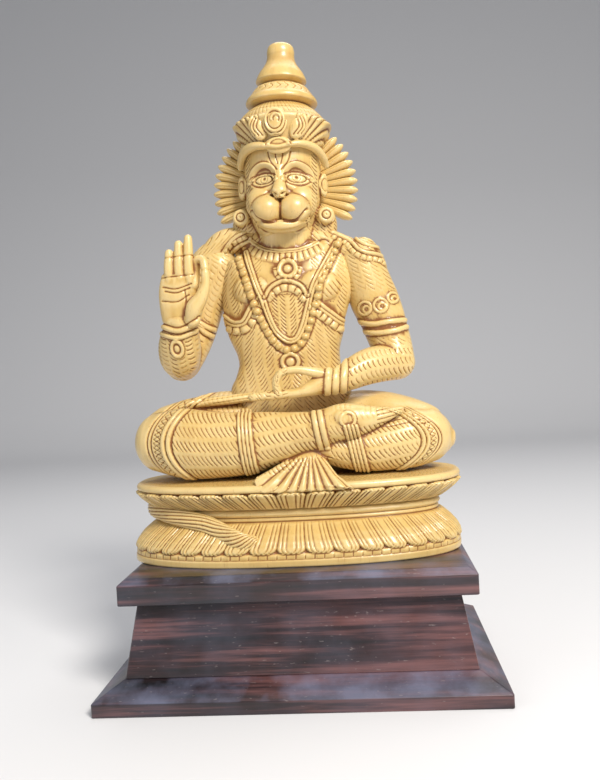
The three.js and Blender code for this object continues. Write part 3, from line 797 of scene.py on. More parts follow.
legs = weld("legs_in_dhoti", leg_shells(), voxel=0.5, ease=5)
carve(legs, carve_legs, budget=160000)

# %% [markdown]
# ## Trunk of the body
# Ovals stacked from the hips to the shoulders, with the breasts, the shawl over the shoulders and the
# neck. The necklaces are chased into the chest, and the fur runs down the belly in bent rows. Each
# cord could be a bevelled curve, but as a height on the skin it can't lift off the chest.

# %% Body
TORSO = Limb([
    (-2, 3, 16, 35, 21), (-2, 2.5, 40, 34, 19.5), (-2, 2, 49, 33, 18.5), (-1.7, 1.3, 56, 29.9, 17),
    (-1.5, 0.8, 63.5, 27.9, 15.8), (-1.7, 0.5, 70, 28.3, 15.5), (-2, 0.5, 78, 31.1, 15.8),
    (-2.5, 0.5, 88, 33.3, 16.2), (-2, 1, 98, 35, 17), (-0.5, 2, 108, 36.5, 16.8),
    (1, 3, 118, 35, 14.5), (1, 4, 127, 24, 12),
], wide=SIDE, count=90, power=2.3)
LEFT_SHAWL = Limb([
    (-14, 4, 129, 8, 9), (-20, 4, 131, 7.6, 9), (-27, 4, 132.6, 7.4, 9), (-34.7, 4, 131.6, 7.4, 9),
    (-40, 4, 126.8, 7.6, 9), (-45, 4, 122.5, 8, 9), (-50, 4, 117, 7, 8),
])
RIGHT_SHAWL = Limb([
    (16, 4, 130, 8, 9), (26, 4, 126.6, 7.6, 9), (35, 4, 122, 7.8, 9), (43, 4, 118.2, 7.6, 9),
    (48, 4, 113.6, 6.4, 7.4),
])
NECK = Limb([(0.5, 3, 120, 19, 13), (0.5, 2, 131, 16.4, 13), (0.5, 2, 144, 16.4, 13)], wide=SIDE)
COLLAR = [
    (-20, 127.6), (-13.4, 122.6), (-5.6, 120.2), (2, 119.6), (9, 120), (15.6, 122.3), (20.6, 125.4),
]
COLLAR_EDGE = [(-18, 130.2), (-11.8, 125.6), (-2.3, 123.4), (8.4, 123.8), (17.5, 127)]
CORD = [
    (-21.5, 124.4), (-18.4, 113.7), (-14.8, 102.9), (-12.4, 97.4), (-10.2, 89.4), (-6.9, 81.2),
    (-2.9, 76.8), (0.7, 75), (4.5, 76.4), (8.1, 83), (10.6, 90.8), (13.8, 101.1), (17.4, 108.8),
    (23.2, 118.9), (27.3, 126.4),
]
GARLAND = [
    (-27.1, 127.3), (-24.4, 118.1), (-20.8, 107.4), (-18.6, 99.3), (-16.3, 92.3), (-13.5, 85.8),
    (-10.6, 79.8), (-7.2, 74.4), (-3.1, 71), (0.5, 70.2), (4.9, 72.1), (8.3, 76.1), (11.3, 82.8),
    (13.8, 89.5), (16.3, 96.7), (17.7, 103.4), (20.1, 109.5), (23.6, 116.1), (26.6, 122.2),
    (28.9, 127.2),
]
ARCH = [(-11.5, 99), (-8.1, 103.8), (-2.6, 106.6), (2.6, 106.3), (7.8, 103.9), (11, 98.6)]
SCALLOPS = [(-9, 98.4), (-5.6, 101.6), (-1.6, 103.2), (2.4, 103), (6.2, 101), (9, 97)]
LEFT_STRAP = [(-38, 91.5), (-35.1, 89.9), (-29.9, 86.4), (-24, 86.6), (-19.9, 92.2), (-17.5, 96)]
RIGHT_STRAP = [(15.6, 95.4), (17.6, 92.6), (22.5, 88.6), (27.6, 84.6), (31.3, 83.3), (36, 83)]
LEFT_EDGE = [(-20, 132), (-30, 127), (-37, 119), (-39.5, 110)]
RIGHT_EDGE = [(26, 131.7), (33.9, 127), (38, 120.8), (43.2, 118.4), (51, 117.6)]
PENDANT, BUCKLE = (1.3, 113.3), (0.2, 63.9)


def carve_body(grid, out):
    r = Relief(grid, out)
    x, z = r.x, r.z
    collar = lambda a, b: 0.7 * lobes(a, 3.2) * plateau(b, 3.1, 1.4) - 0.5 * dip(b - 3.6, 0.5)
    r.follow(COLLAR, 3.4, collar)
    r.follow(COLLAR_EDGE, 1.2, lambda a, b: 0.9 * cord(b, 1.2))
    pair = lambda a, b: 0.85 * cord(np.abs(b) - 0.8, 0.75) - 0.35 * dip(np.abs(b) - 1.9, 0.4)
    r.follow(CORD, 2.2, pair)
    r.follow(GARLAND, 2.6, lambda a, b: -0.5 * dip(np.abs(b) - 2.3, 0.8))
    r.follow(ARCH, 1.3, lambda a, b: 0.9 * cord(b, 1) - 0.5 * dip(np.abs(b) - 1.5, 0.45))
    r.follow(SCALLOPS, 2, lambda a, b: 1.1 * lobes(a + 0.5, 4.1) * cord(b, 2.1))
    r.ring(PENDANT, 4.3, 1.3, 1.2)
    r.disc(PENDANT, 2.1, 1.3)
    spin = np.arctan2(z - PENDANT[1], x - PENDANT[0])
    around = r.oval(*PENDANT)
    r.add(0.8 * lobes(spin * 6, np.pi) * cord(around - 6.2, 1.5) * (z < 114), plateau(around, 8, 1))
    panel_half = np.interp(z, (77, 84, 92, 100), (1, 6, 9, 9.4))
    panel = (z > 77.5) * (z < 100) * (np.abs(x - 0.4) < panel_half)
    herring = strokes(z - 0.9 * np.abs(x - 0.4), np.abs(x - 0.4) + 20.5, 2.1, 4.2, -0.4, 0.4)
    r.add(0.55 * herring * panel - 0.25 * panel, panel)
    out_x = np.abs(x - 0.5)
    r.clear((z > 104) & (out_x < 13))
    straps = lambda b: 1.1 * cord(b - 0.9, 1.1) + 0.9 * cord(b + 1, 0.9)
    for points in (LEFT_STRAP, RIGHT_STRAP):
        r.follow(points, 5.2, lambda a, b: straps(b) + 1.2 * lobes(a, 3.3) * cord(b + 3.8, 2.1))
    r.ring(BUCKLE, 4.3, 1.1, 1.1)
    r.disc(BUCKLE, 2.3, 0.9)
    r.clear((5.7 - r.oval(*BUCKLE)) / 0.5)
    belly = strokes(z + 0.9 * out_x, out_x + 12 + 1.5 * np.sin(z / 6), 2.5, 6.2, 0.6)
    in_x, up_z = x - np.sign(x) * 9, z - 92
    breast = strokes(np.hypot(in_x, up_z), np.arctan2(up_z, in_x) * 11 + 40, 2.4, 5.4, 0.5)
    on_breast = np.clip(1 - np.hypot((out_x - 16) / 14, (z - 103) / 10.5), 0, 1) > 0.05
    r.fur(np.where(on_breast, breast * 0.34, belly * 0.34) * r.front * (z < 122))

    def edge(a, b):
        return 0.9 * cord(b - 1.2, 1) + 0.9 * lobes(a, 3) * cord(b + 1.2, 1.4) - 0.5 * dip(b, 0.4)

    for points in (RIGHT_EDGE, LEFT_EDGE):
        r.follow(points, 2.6, edge)
        r.follow([(px + 2, pz + 5.4) for px, pz in points], 0.8, lambda a, b: 0.7 * cord(b, 0.9))
    shawl = (z > 122) | (out_x > 30) & (z > 112)
    r.fur(0.38 * strokes(x * np.sign(x) + 0.8 * z, z + 0.5 * out_x, 2.7, 5.2, 0.8, turn=True) * shawl)
    return r.height


def body_shells():
    shells = [TORSO.shell(96, (0, 0)), LEFT_SHAWL.shell(36)]
    shells += [RIGHT_SHAWL.shell(36), NECK.shell(40, (0, 0))]
    for s in (-1, 1):
        shells.append(ball((-0.5 + 15.5 * s, -8.5, 103), (13.5, 8, 10.5)))
    return [seated(shell) for shell in shells]


body = weld("body", body_shells(), voxel=0.46, ease=8)
carve(body, carve_body, budget=140000)

# %% [markdown]
# ## Garland
# A string of fat wooden beads lies over the chest. Each one is found by looking from the front at the
# carved trunk, so that it sits half sunk in the wood. An array along a curve would leave some beads
# in the air. They stay a piece of their own, because the remesh would soften such small balls.


# %% Garland
def bead_string(name, points, pitch, radii):
    """Balls of about eighty faces at even steps along the line, turned with it, 0.3 squares proud."""
    line = Track(points, 400)
    tree = BVHTree.FromObject(body, bpy.context.evaluated_depsgraph_get())
    shells = []
    for run in np.arange(pitch / 2, line.run[-1], pitch):
        x, z = (np.interp(run, line.run, line.line[:, k]) for k in (0, 1))
        ahead = [np.interp(run + 1, line.run, line.line[:, k]) - v for k, v in ((0, x), (1, z))]
        start = seated((np.array([[x, -60.0, z]]), None, None))[0][0] * MM
        hit = tree.ray_cast(tuple(start), (0, 1, 0))[0]
        if hit is None:
            continue
        verts, quads, tris = ball((0, 0, 0), radii, 12, 7, -math.atan2(ahead[1], ahead[0]))
        shells.append((verts * SQUARE + np.array(hit) / MM + np.array([0, 0.3, 0]), quads, tris))
    finish_carving(make_object(name, *joined(shells)), reach=2, depth=1.5)


bead_string("bead_garland", GARLAND, pitch=4.4, radii=(1.95, 2.0, 2.3))

# %% [markdown]
# ## Arms and hands
# The right hand is raised in blessing with the palm to the front. The left one lies in the lap with
# forefinger and thumb closed to a ring. Both upper arms carry an armlet, and both wrists a bracelet.
# The fingers could be boxes under a subdivision, but tapered ovals weld into the palm without a cage.

# %% Arms
LAP_ARM = Limb([
    (40, 4, 118, 12, 12), (41.5, 4, 112, 12.4), (44, 4, 103, 13, 12.5), (46.9, 4, 94.5, 13.3, 12),
    (50.1, 3.5, 86, 12.5, 11.8), (52, 3, 79, 11.8, 11.5), (54.3, 1.5, 71, 11.2, 11),
    (56, -1, 63, 10.5, 10.5),
], wide=SIDE)
LAP_FOREARM = Limb([
    (57, -1, 61, 9.8), (50, -6, 60.6, 9.8), (43, -11, 59.7, 9.7), (37, -15, 57.8, 9),
    (31.5, -18.5, 55.2, 7.8), (26.5, -21.5, 53.2, 6.5),
])
BLESSING_ARM = Limb([
    (-39, 5, 118, 12.5, 12), (-43.5, 5, 109, 12.4), (-48.5, 5, 98, 11.6), (-51, 4.5, 89.5, 11),
    (-53.5, 3.5, 82, 10.6), (-57, 2, 74, 10.3), (-60.5, 0, 67, 9.8),
], wide=SIDE)
BLESSING_FOREARM = Limb([
    (-61, -0.5, 66.5, 9.8), (-60.5, -7, 70, 11.2, 11), (-59, -13, 76, 11.4, 10),
    (-57, -18, 83, 9.8, 8), (-56, -20.5, 88, 9.2, 6.8),
], wide=SIDE)

SHAWL_EDGE = [(30, 129.6), (33.9, 127), (38, 121.6), (43.2, 118.8), (51, 117.4), (58, 114)]
ARMLETS = (
    [(36, 84), (44.5, 81.9), (54, 82.6), (65, 83.4)],
    [(36, 79), (45.8, 77), (56, 77.6), (66, 80.3)],
    [(-53, 91), (-51.1, 89.6), (-45.2, 85.4), (-40, 83)],
    [(-53, 88.8), (-51.2, 87.4), (-45.9, 82.1), (-41, 79)],
)
DISCS = ((41, 90.5, 3.4), (49.5, 91.5, 3.6), (56.5, 95.5, 2.8))
BRACELETS = (
    [(-68, 87.2), (-64.9, 85.8), (-56, 83.2), (-46.2, 86.8), (-44, 88.4)],
    [(-68, 83.4), (-65.2, 81.7), (-56.2, 79.6), (-45.9, 83.7), (-43, 85.6)],
)
WRIST_X = -58.4
PALM_LINES = (
    [(-63, 106.2), (-56, 105), (-48, 107.2)],
    [(-62, 104), (-56, 102.9), (-49, 105)],
    [(-64, 99), (-56, 98.2), (-49.6, 101.5)],
    [(-51.6, 104), (-51.2, 98), (-52.5, 91)],
)


def lap_hand():
    palm = Limb([
        (28, -20.5, 52.5, 6), (19, -25, 52.4, 6.4, 5.6), (11, -28, 49.6, 4, 4.4),
        (4, -29.5, 47.8, 2.5, 3.8), (-5, -30, 47.4, 2.5, 3.6), (-19, -31, 46.8, 2.2, 2.6),
    ])
    ring = Limb([
        (20, -26, 55.6, 3.8), (11, -30, 58.4, 2.4), (3, -31.5, 59.6, 2), (-3.6, -32, 58.2, 2),
        (-6.2, -32, 53.6, 2.1), (-5.6, -31.5, 48.6, 2.3),
    ], wide=FRONT)
    return [palm.shell(24), ring.shell(20)]


def blessing_hand():
    palm = Limb([
        (-56.2, -20.5, 86, 9, 6.4), (-56.2, -22, 94, 10, 5), (-55.9, -23.2, 103, 10.3, 4.2),
        (-55.2, -24, 111, 9.2, 3.2),
    ], wide=SIDE)
    thumb = Limb([
        (-49, -25, 89.4, 4.4), (-47, -27, 94.4, 4.6), (-42.8, -28, 100, 3.4),
        (-40.4, -28, 106, 2.5), (-40.1, -28, 112, 2.2),
    ], wide=SIDE)
    forefinger = Limb([
        (-47.2, -24, 106.7, 2.9), (-46.4, -23, 114, 2.7), (-44.8, -24, 119, 2.6),
        (-41.4, -26, 118.8, 2.4), (-40.2, -27.5, 114.6, 2.2),
    ], wide=SIDE)
    shells = [palm.shell(32), thumb.shell(20), forefinger.shell(20)]
    for x, tip in ((-59.6, 126), (-54.3, 130.3), (-49.1, 133)):
        line = [(x + 0.4, -23.5, 104, 2.9), (x, -25, 115, 2.8), (x + 0.3, -24.5, tip - 2.2, 2.2)]
        shells.append(Limb(line, wide=SIDE).shell(20))
    return shells


def carve_arms(grid, out):
    r = Relief(grid, out)
    x, y, z = r.x, r.y, r.z
    lap = x > 0
    centres = (LAP_ARM.centre[::-1], BLESSING_ARM.centre[::-1])
    arm_x = np.where(lap, *(np.interp(z, c[:, 2], c[:, 0]) for c in centres))
    upper = lap & (z > 70) | ~lap & (y > -12)
    edge = lambda a, b: cord(b - 1.4, 1) + 0.9 * lobes(a, 3) * cord(b + 1.4, 1.6) - 0.5 * dip(b, 0.4)
    r.follow(SHAWL_EDGE, 2.6, edge)
    for over, up, high, half in ((2, 5.4, 0.8, 0.9), (3, 9, 0.6, 0.8)):
        fold = [(px + over, pz + up) for px, pz in SHAWL_EDGE]
        r.follow(fold, 0.8, lambda a, b: high * cord(b, half))
    behind = ~lap & (y > -13)
    for points in ARMLETS:
        r.follow(points, 2, lambda a, b: 1.2 * cord(b, 1.5), lap | behind)
    for cx, cz, size in DISCS:
        r.ring((cx, cz), size, 0.7, 0.4)
        r.ring((cx + 0.8, cz - 0.6), size * 0.5, 0.6, 0.3)
    r.clear(0.85 * (lap & (z > 74) & (z < 100)))
    hand = ~lap & (y < -10)
    r.follow(BRACELETS[0], 1.9, lambda a, b: 1.1 * cord(b, 1.3) - 0.4 * dip(np.abs(b) - 1.7, 0.4), hand)
    r.follow(BRACELETS[1], 1.7, lambda a, b: 0.9 * cord(b, 1.1), hand)
    leaf = r.oval(WRIST_X, 74, 3.4, 4.6)
    r.add((0.9 * cord(leaf - 0.85, 0.25) + 0.5 * cord(leaf, 0.4)) * (y < -8), plateau(leaf, 1.3, 0.2))
    palm = hand & (z > 86)
    for points in PALM_LINES:
        r.follow(points, 0.6, lambda a, b: -0.6 * dip(b, 0.5), palm)
    for level in (111.4, 121.6):
        r.add(-0.4 * dip(z - level - 0.05 * x - 2.8, 0.5) * palm * (x < -46.5))
    wrist = lap & (z < 66) & (x > 17.5) & (x < 30.5)
    for k in range(3):
        r.add(1.2 * cord(x - 20.2 - 4 * k - 0.12 * (z - 53), 1.9) * wrist)
    r.clear(wrist | lap & (x < 20) | palm)
    fore_z = np.interp(x, LAP_FOREARM.centre[::-1, 0], LAP_FOREARM.centre[::-1, 2])
    forearm = lap & (z < 68)
    r.fur(strokes(x, z - fore_z + 40, 2.5, 5.4, 0.9) * 0.45 * forearm * r.front)
    r.fur(strokes(z, x - arm_x + 40, 2.7, 5.4, 1.5) * np.where(lap, 0.24, 0.3) * upper * r.front)
    away = x - WRIST_X
    under_hand = ~lap & (y < -6) & (z < 84)
    fur = strokes(z - 0.05 * away**2, away + 42, 2.3, 4.6, 0.5, turn=True)
    r.fur(fur * 0.42 * under_hand * r.front)
    return r.height


def arm_shells():
    shells = [limb.shell(40) for limb in (LAP_ARM, LAP_FOREARM, BLESSING_ARM, BLESSING_FOREARM)]
    return [seated(shell) for shell in shells + lap_hand() + blessing_hand()]


arms = weld("arms_and_hands", arm_shells(), voxel=0.42, ease=5)
carve(arms, carve_arms, budget=112000)

# %% [markdown]
# ## Head
# A round skull, two full cheeks of the muzzle, and the lower lip. The eyes are almonds cut into
# hollow sockets under arched brows. A face is mostly sculpted by hand. Here each feature is a groove
# or a ridge at a place on the front view, so it can be measured and moved. Head, crown and halo lean
# a little to one side, so all of them are built upright and leaned together.


# %% Head
def leaned(shell):
    """Turns squares above the neck about the Y axis by the head's lean and lifts them to the neck."""
    verts, quads, tris = shell
    c, s = math.cos(HEAD_LEAN), math.sin(HEAD_LEAN)
    x, y, z = verts.T
    places = np.stack([c * x + s * z + NECK_SHIFT, y, c * z - s * x + NECK_Z], axis=1)
    return seated((places, quads, tris))


def upright(grid):
    """From grid squares back to squares above the neck, without the lean."""
    c, s = math.cos(HEAD_LEAN), math.sin(HEAD_LEAN)
    x, y, z = grid[:, 0] - NECK_SHIFT, grid[:, 1], grid[:, 2] - NECK_Z
    return np.stack([c * x - s * z, y, c * z + s * x], axis=1)


FACE = Limb([
    (0, -5.5, -3.4, 10, 8.4), (0, -4, 1, 14.2, 13.6), (0, -2.4, 9, 18, 18), (0, -1, 18, 20, 19.3),
    (0, -1, 26, 20.7, 19.5), (0, -1, 38, 20.6, 19.5), (0, 0, 54, 19.5, 19),
], wide=SIDE, count=60)
NOSE = Limb([
    (0, -18.5, 33, 2.6, 2.4), (0, -20.5, 25, 2.7, 2.6), (0, -23, 18.6, 4, 3),
    (0, -23.4, 17, 3.4, 2.4),
], wide=SIDE)
LIP = Limb([
    (-13.4, -14.4, 5.4, 1.9), (-7, -19.6, 1.7, 2.5), (0, -21.2, 1, 2.9), (7, -19.6, 1.7, 2.5),
    (13.4, -14.4, 5.4, 1.9),
])
VISOR = Limb([
    (-22.6, -4, 35.5, 1.6, 1.8), (-21.4, -8.6, 38.8, 2.3, 2.2), (-18.4, -14, 41.8, 2.6, 2.4),
    (-12.6, -19.6, 42.7, 2.3, 2.4), (-6, -22.6, 41.7, 1.6, 2.2), (0, -23.4, 40.8, 1.2, 2),
    (6, -22.6, 42.2, 1.5, 2.2), (12.6, -19.6, 43, 1.9, 2.4), (18.6, -14, 41.8, 2.1, 2.4),
    (22.2, -8.6, 38.6, 2, 2.2), (23.6, -4, 35, 1.5, 1.8),
])
EYES = ((-9.1, 25.8), (9.4, 26.1))
BROWS = (
    [(-17, 25.5), (-14.6, 30.6), (-9.3, 33.2), (-4.2, 31), (-2.2, 25)],
    [(2.4, 25), (4.2, 30.6), (8.8, 33), (14.6, 30.8), (17, 26)],
)
FACE_CUTS = (  # on either side: the points, the depth and the width
    ([(3.6, 21), (8, 17.6), (13.4, 14.5), (15.4, 9.5)], 0.22, 0.8),
    ([(1.2, 30), (4.6, 34.6), (6, 39.5)], 0.4, 0.4),
    ([(0.8, 33), (1.8, 37), (2, 39.5)], 0.4, 0.4),
)
CHIN = [(-12, 3.4), (-7, 0.6), (0, -0.4), (7, 0.6), (12, 3.2)]
MOUTH = [
    (-15.4, 9.6), (-13, 5.6), (-9.3, 3.3), (-5.2, 2.6), (0, 3.6), (5.2, 2.8), (9.8, 3.8), (14.6, 9),
]


def carve_eye(r, cx, cz, ahead):
    """An almond eyeball with lids, set in a hollow under the brow."""
    dx, dz = r.x - cx, r.z - cz
    almond = np.hypot(dx / 5.5, dz / np.where(dz > 0, 2.0, 2.4)) + 0.12 * np.abs(dx / 5.5) ** 3
    socket = -2.7 * np.clip(1 - r.oval(cx, cz + 1.4, 7.6, 6.4) ** 2, 0, 1)
    lid = 0.8 * cord(almond - 1.18, 0.19) - 1.1 * dip(almond - 1, 0.08)
    iris = 0.3 * dip(r.oval(cx, cz) - 2, 0.35) + dip(r.oval(cx, cz + 0.3), 0.95)
    fold = 0.35 * dip(almond - np.where(dz < 0, 1.6, 1.75), 0.13)
    ball_and_lid = 1.3 * cord(almond, 1) + np.where(dz > 0, 1.2, 0.35) * lid
    r.add((socket + ball_and_lid - iris * (almond < 0.92) * (dz < 1.2) - fold) * ahead)


def carve_head(grid, out):
    r = Relief(upright(grid), out, 2.5)
    x, y, z = r.x, r.y, r.z
    ahead = (np.abs(x) < 19) & (y < -4)
    for cx, cz in EYES:
        carve_eye(r, cx, cz, ahead)
    for points in BROWS:
        r.follow(points, 2, lambda a, b: 0.7 * cord(b, 1.5), ahead)
    for side, nx in ((-1, -2.9), (1, 2.4)):
        nostril = np.hypot((x - nx) / 2.1, (z - 16.6 - side * 0.25 * (x - nx)) / 1.05)
        r.add(-1.5 * np.clip(1.2 - nostril, 0, 1) * ahead)
        for points, deep, wide in FACE_CUTS:
            cut = [(side * px, pz) for px, pz in points]
            r.follow(cut, 0.7, lambda a, b: -deep * dip(b, wide), ahead)
    r.follow([(0.2, 15.5), (0.3, 10), (0, 5.2)], 0.8, lambda a, b: -0.5 * dip(b, 0.5), ahead)
    r.follow(MOUTH, 1, lambda a, b: -1.3 * dip(b, 0.6), ahead)
    r.follow(CHIN, 0.8, lambda a, b: -0.5 * dip(b + 1.6, 0.6), ahead)
    side_hair = (np.abs(x) > 15.5) & (z < 40) & (z > -14)
    for cx in (-22.4, 23):
        ear = r.oval(cx, 25, 2.6, 5)
        r.add(0.8 * cord(ear - 1, 0.3) - 0.6 * np.clip(1 - ear, 0, 1), plateau(ear, 1.5, 0.2))
        drop = r.oval(cx * 1.02, 8.5)
        r.add(0.7 * cord(drop - 3.4, 0.9) + 0.7 * cord(drop - 1, 0.9), plateau(drop, 4.6, 0.3))
    hair = strokes(z + 0.4 * np.abs(x), np.abs(x) + 2, 2.0, 3.6, 0.9, 0.36)
    chin_side = (np.abs(x) > 13) & (z < 14) & (z > -6) & (np.hypot(np.abs(x) - 6.6, z - 9.6) > 8.6)
    beard = strokes(z, np.abs(x) + 2, 1.9, 3.0, 0.9, 0.36) * chin_side
    r.fur(hair * 0.4 * side_hair * r.front + beard * 0.2 * r.front * ~side_hair)
    return r.height


def head_shells():
    shells = [FACE.shell(72, (0, 0))]
    for s in (-1, 1):
        shells.append(ball((7.2 * s, -17.2, 9.9), (8.7, 9.2, 8)))
        shells.append(ball((9 * s, -12.6, 14), (10, 8.4, 10)))
        shells.append(ball((21.5 * s, -1, 25), (3, 4.5, 6.5)))
        shells.append(ball((22.6 * s, -4, 8.5), (4.9, 3.8, 4.9)))
        shells.append(ball((20 * s, 4, 4), (9, 8, 12)))
    return [leaned(shell) for shell in shells + [NOSE.shell(24), LIP.shell(20)]]


head = weld("head", head_shells(), voxel=0.38, ease=20)
carve(head, carve_head, budget=122000, depth=0.16)

# %% [markdown]
# ## Crown
# The crown is turned: a profile round an axis, with flutes like a fringe of feathers over the brow. A
# thick rolled visor, a crest leaf with a curl and two side leaves stand in front of it. The screw
# modifier turns a profile as well, but only a grid of places lets the flutes change the radius.

# %% Crown
CROWN = [
    (19.5, 38), (21, 44), (23.4, 50), (25.6, 54.4), (26.7, 56.6), (25.6, 58), (24, 58.8),
    (22.4, 61), (20, 63.6), (16.6, 66.2), (15.2, 67.4), (17.2, 68.1), (19.1, 69), (19.4, 70.1),
    (18.8, 71.6), (17.4, 73.2), (15.8, 75.4), (14, 77.6), (11.2, 78.9), (10.4, 79.6), (12, 80.4),
    (13.5, 81.3), (13.7, 82.1), (13, 84), (11.8, 86.3), (9.6, 89.4), (8, 92.3), (7.4, 95),
    (7.4, 98), (6.6, 100.5), (4.6, 101.8), (1.6, 102.4),
]


def crown_shell(sides=360, count=160):
    """Radius = the profile, plus flutes 1.6 high in the fringe, less slanted cuts in dome and collar."""
    line = smooth_line([(r, z, 0) for r, z in CROWN], count)
    angle = (2 * np.pi * np.arange(sides) / sides)[None, :]
    r, z = line[:, 0, None], line[:, 1, None]
    away = np.degrees(np.abs((angle + np.pi) % (2 * np.pi) - np.pi))
    open_front = np.clip((away - 20) / 4, 0, 1)
    spin = np.arctan2(z - 31, r * np.sin(angle))
    fringe = np.clip((z - 43) / 2, 0, 1) * np.clip((58.2 - z) / 0.8, 0, 1) * open_front
    dome, collar = plateau(z - 63.2, 4.2, 0.8), plateau(z - 76, 3, 0.8)
    r = r + fringe * 1.6 * (np.abs(np.sin(42 * spin)) ** 0.7 - 0.8)
    r = r - 0.45 * dome * dip(np.sin(31 * angle + 0.5 * z), 0.3)
    r = r - 0.5 * collar * dip(np.sin(12 * angle + 0.7 * np.sin(z * 1.4)), 0.22)
    r = r - 0.35 * dome * dip(z - 63, 0.5)
    return closed_skin(np.stack([r * np.sin(angle), -r * np.cos(angle), z + 0 * angle], axis=-1))


crown = make_object("crown", *leaned(crown_shell()))
finish_carving(crown, reach=6, depth=0.3)


def carve_crest(grid, out):
    r = Relief(upright(grid), out)
    z = r.z
    leaf = r.oval(-1.4, 54, 5.4, 6.4)
    rim = 0.5 * cord(leaf - 0.88, 0.13) - 0.6 * dip(leaf - 0.72, 0.07) - 0.7 * dip(leaf - 1.06, 0.07)
    r.add(rim * (z > 47.4))
    curl = r.oval(-0.6, 54.4, 3, 3.2)
    r.add((0.6 * cord(curl - 0.8, 0.22) - 0.6 * dip(curl - 0.55, 0.12)) * (z > 53.4))
    knot = r.oval(0, 41.4, 6.4, 4.8)
    r.add((0.5 * cord(knot - 0.85, 0.14) - 0.6 * dip(knot - 1.04, 0.07)) * (z > 41.6))
    for side in (-1, 1):
        for grow in (0, 2.2, 4.4):
            bow = ((8 + grow, 47), (11 + grow * 0.9, 51), (9.5 + grow * 0.7, 57))
            r.follow([(side * px, pz) for px, pz in bow], 0.8, lambda a, b: -0.7 * dip(b, 0.5))
    return r.height


def crest_shells():
    shells = [VISOR.shell(28), ball((0, -22.4, 42.2), (7, 2, 4.6))]
    shells.append(ball((-1.4, -24.6, 53.6), (6.4, 2.4, 7.6)))
    for s in (-1, 1):
        shells.append(ball((10.5 * s, -22.2, 51.5), (4.6, 2.6, 7), turn=0.4 * s))
    return [leaned(shell) for shell in shells]


crest = weld("visor_and_crest", crest_shells(), voxel=0.38)
carve(crest, carve_crest, budget=40000, depth=0.18)

# %% [markdown]
# ## Halo
# A ring of fat petals stands behind the head. One petal could be arrayed round the arc. On the real
# piece they are cut from one wall of the block, so here each slice round the arc is a flat oval, and
# the rim and the thickness go in and out with the petals.

# %% Halo
HALO_RADIUS, HALO_INNER, HALO_PETALS = 40.3, 14.0, 31
HALO_CENTRE = (0.5, 8, 25)
HALO_START = math.radians(-28)


def halo_shell(columns=18 * HALO_PETALS, sides=46):
    """Within a petal t runs from -1 to 1. Rim: radius - 4.4 |t|^1.8. Front: a swell sqrt(1 - |t|^5)."""
    share = np.linspace(0, 1, columns + 1)[:, None]
    angle = HALO_START + (math.pi - 2 * HALO_START) * share
    t = 2 * ((share * HALO_PETALS) % 1) - 1
    turn = np.linspace(0, 2 * np.pi, sides, endpoint=False)[None, :]
    outer = HALO_RADIUS - 4.4 * np.abs(t) ** 1.8
    middle, half = 0.5 * (outer + HALO_INNER), 0.5 * (outer - HALO_INNER)
    radius = middle + half * bent(np.cos(turn), 3)
    out = np.clip((radius - 16) / 20, 0, 1)
    swell = np.clip(1 - np.abs(t) ** 5, 0, 1) ** 0.5
    depth = 1.4 + out * (2.4 * swell + 0.9 * (1 - np.abs(t)) - 0.6 * dip(t - 0.32, 0.12))
    cx, cy, cz = HALO_CENTRE
    y = cy + np.where(np.sin(turn) < 0, depth, 3.2) * bent(np.sin(turn), 3)
    rings = np.stack([cx + radius * np.cos(angle), y, cz + radius * np.sin(angle)], axis=-1)
    return closed_skin(rings)


halo = make_object("halo", *leaned(halo_shell()))
finish_carving(halo, reach=7, depth=0.5)

# %% [markdown]
# ## Lotus base
# Two tiers, each a profile carried round the rounded oval of the base. The petals are tongues with
# nested grooves. They lean away from the middle of the front, the lower ones downwards. Petals could
# be set round a core one by one, but the carver cut them into the block, and so does this surface.


# %% Lotus
PETALS = 38  # all round, in each tier
FOOT_SHIFT, RIM_SHIFT = -2.6, -0.8  # how far its foot and its rim stand off the plinth's middle


def outline_columns(fine=0.42, coarse=1.1, power=2.45):
    """Places on |x/a|^p + |y/b|^p = 1, close together at the front, with outward directions."""
    angle = np.linspace(-np.pi / 2, 1.5 * np.pi, 6001)
    half = np.array([LOTUS_WIDTH, LOTUS_DEPTH]) / 2
    line = half * bent(np.stack([np.cos(angle), np.sin(angle)], axis=1), power)
    run = np.concatenate([[0], np.cumsum(np.linalg.norm(np.diff(line, axis=0), axis=1))])
    total, front = run[-1], 0.3 * run[-1]
    spot = np.concatenate([np.arange(-front, front, fine), np.arange(front, total - front, coarse)])
    place = lambda s: np.stack([np.interp(s % total, run, line[:, k]) for k in (0, 1)], axis=1)
    ahead = place(spot + 0.6) - place(spot - 0.6)
    out = np.stack([ahead[:, 1], -ahead[:, 0]], axis=1)
    signed = np.where(spot > total / 2, spot - total, spot)
    return place(spot), out / np.linalg.norm(out, axis=1, keepdims=True), signed, total


LOWER_ROWS = [
    (0, 8), (0, 0.6), (0.3, 0.1), (1, 0), (3.4, 0), (3.8, 0.5), (4.1, 0.3), (6, 0.35), (6.3, 0.6),
    (7, 0.7), (9.2, 1.2), (12.2, 2.8), (15.2, 5.4), (18.4, 9.2), (20.6, 12), (20.9, 12.9),
    (21.4, 12.3), (22, 12), (22.7, 12.3), (23.1, 13), (23.6, 12), (25, 11.2), (26.6, 12.2),
    (27.2, 13.6), (27.6, 18),
]
UPPER_ROWS = [
    (26.6, 18), (27, 14), (27.4, 12.8), (30.2, 8.8), (33.2, 5.2), (36, 2.6), (37.2, 1.9),
    (37.6, 2.6), (37.9, 1.3), (38.6, 0.8), (39.8, 0.7), (40.8, 1.3), (41.3, 2.2), (41.5, 3.4),
    (41.8, 6), (42.1, 9), (42.5, 13), (42.9, 18), (43.2, 24),
]


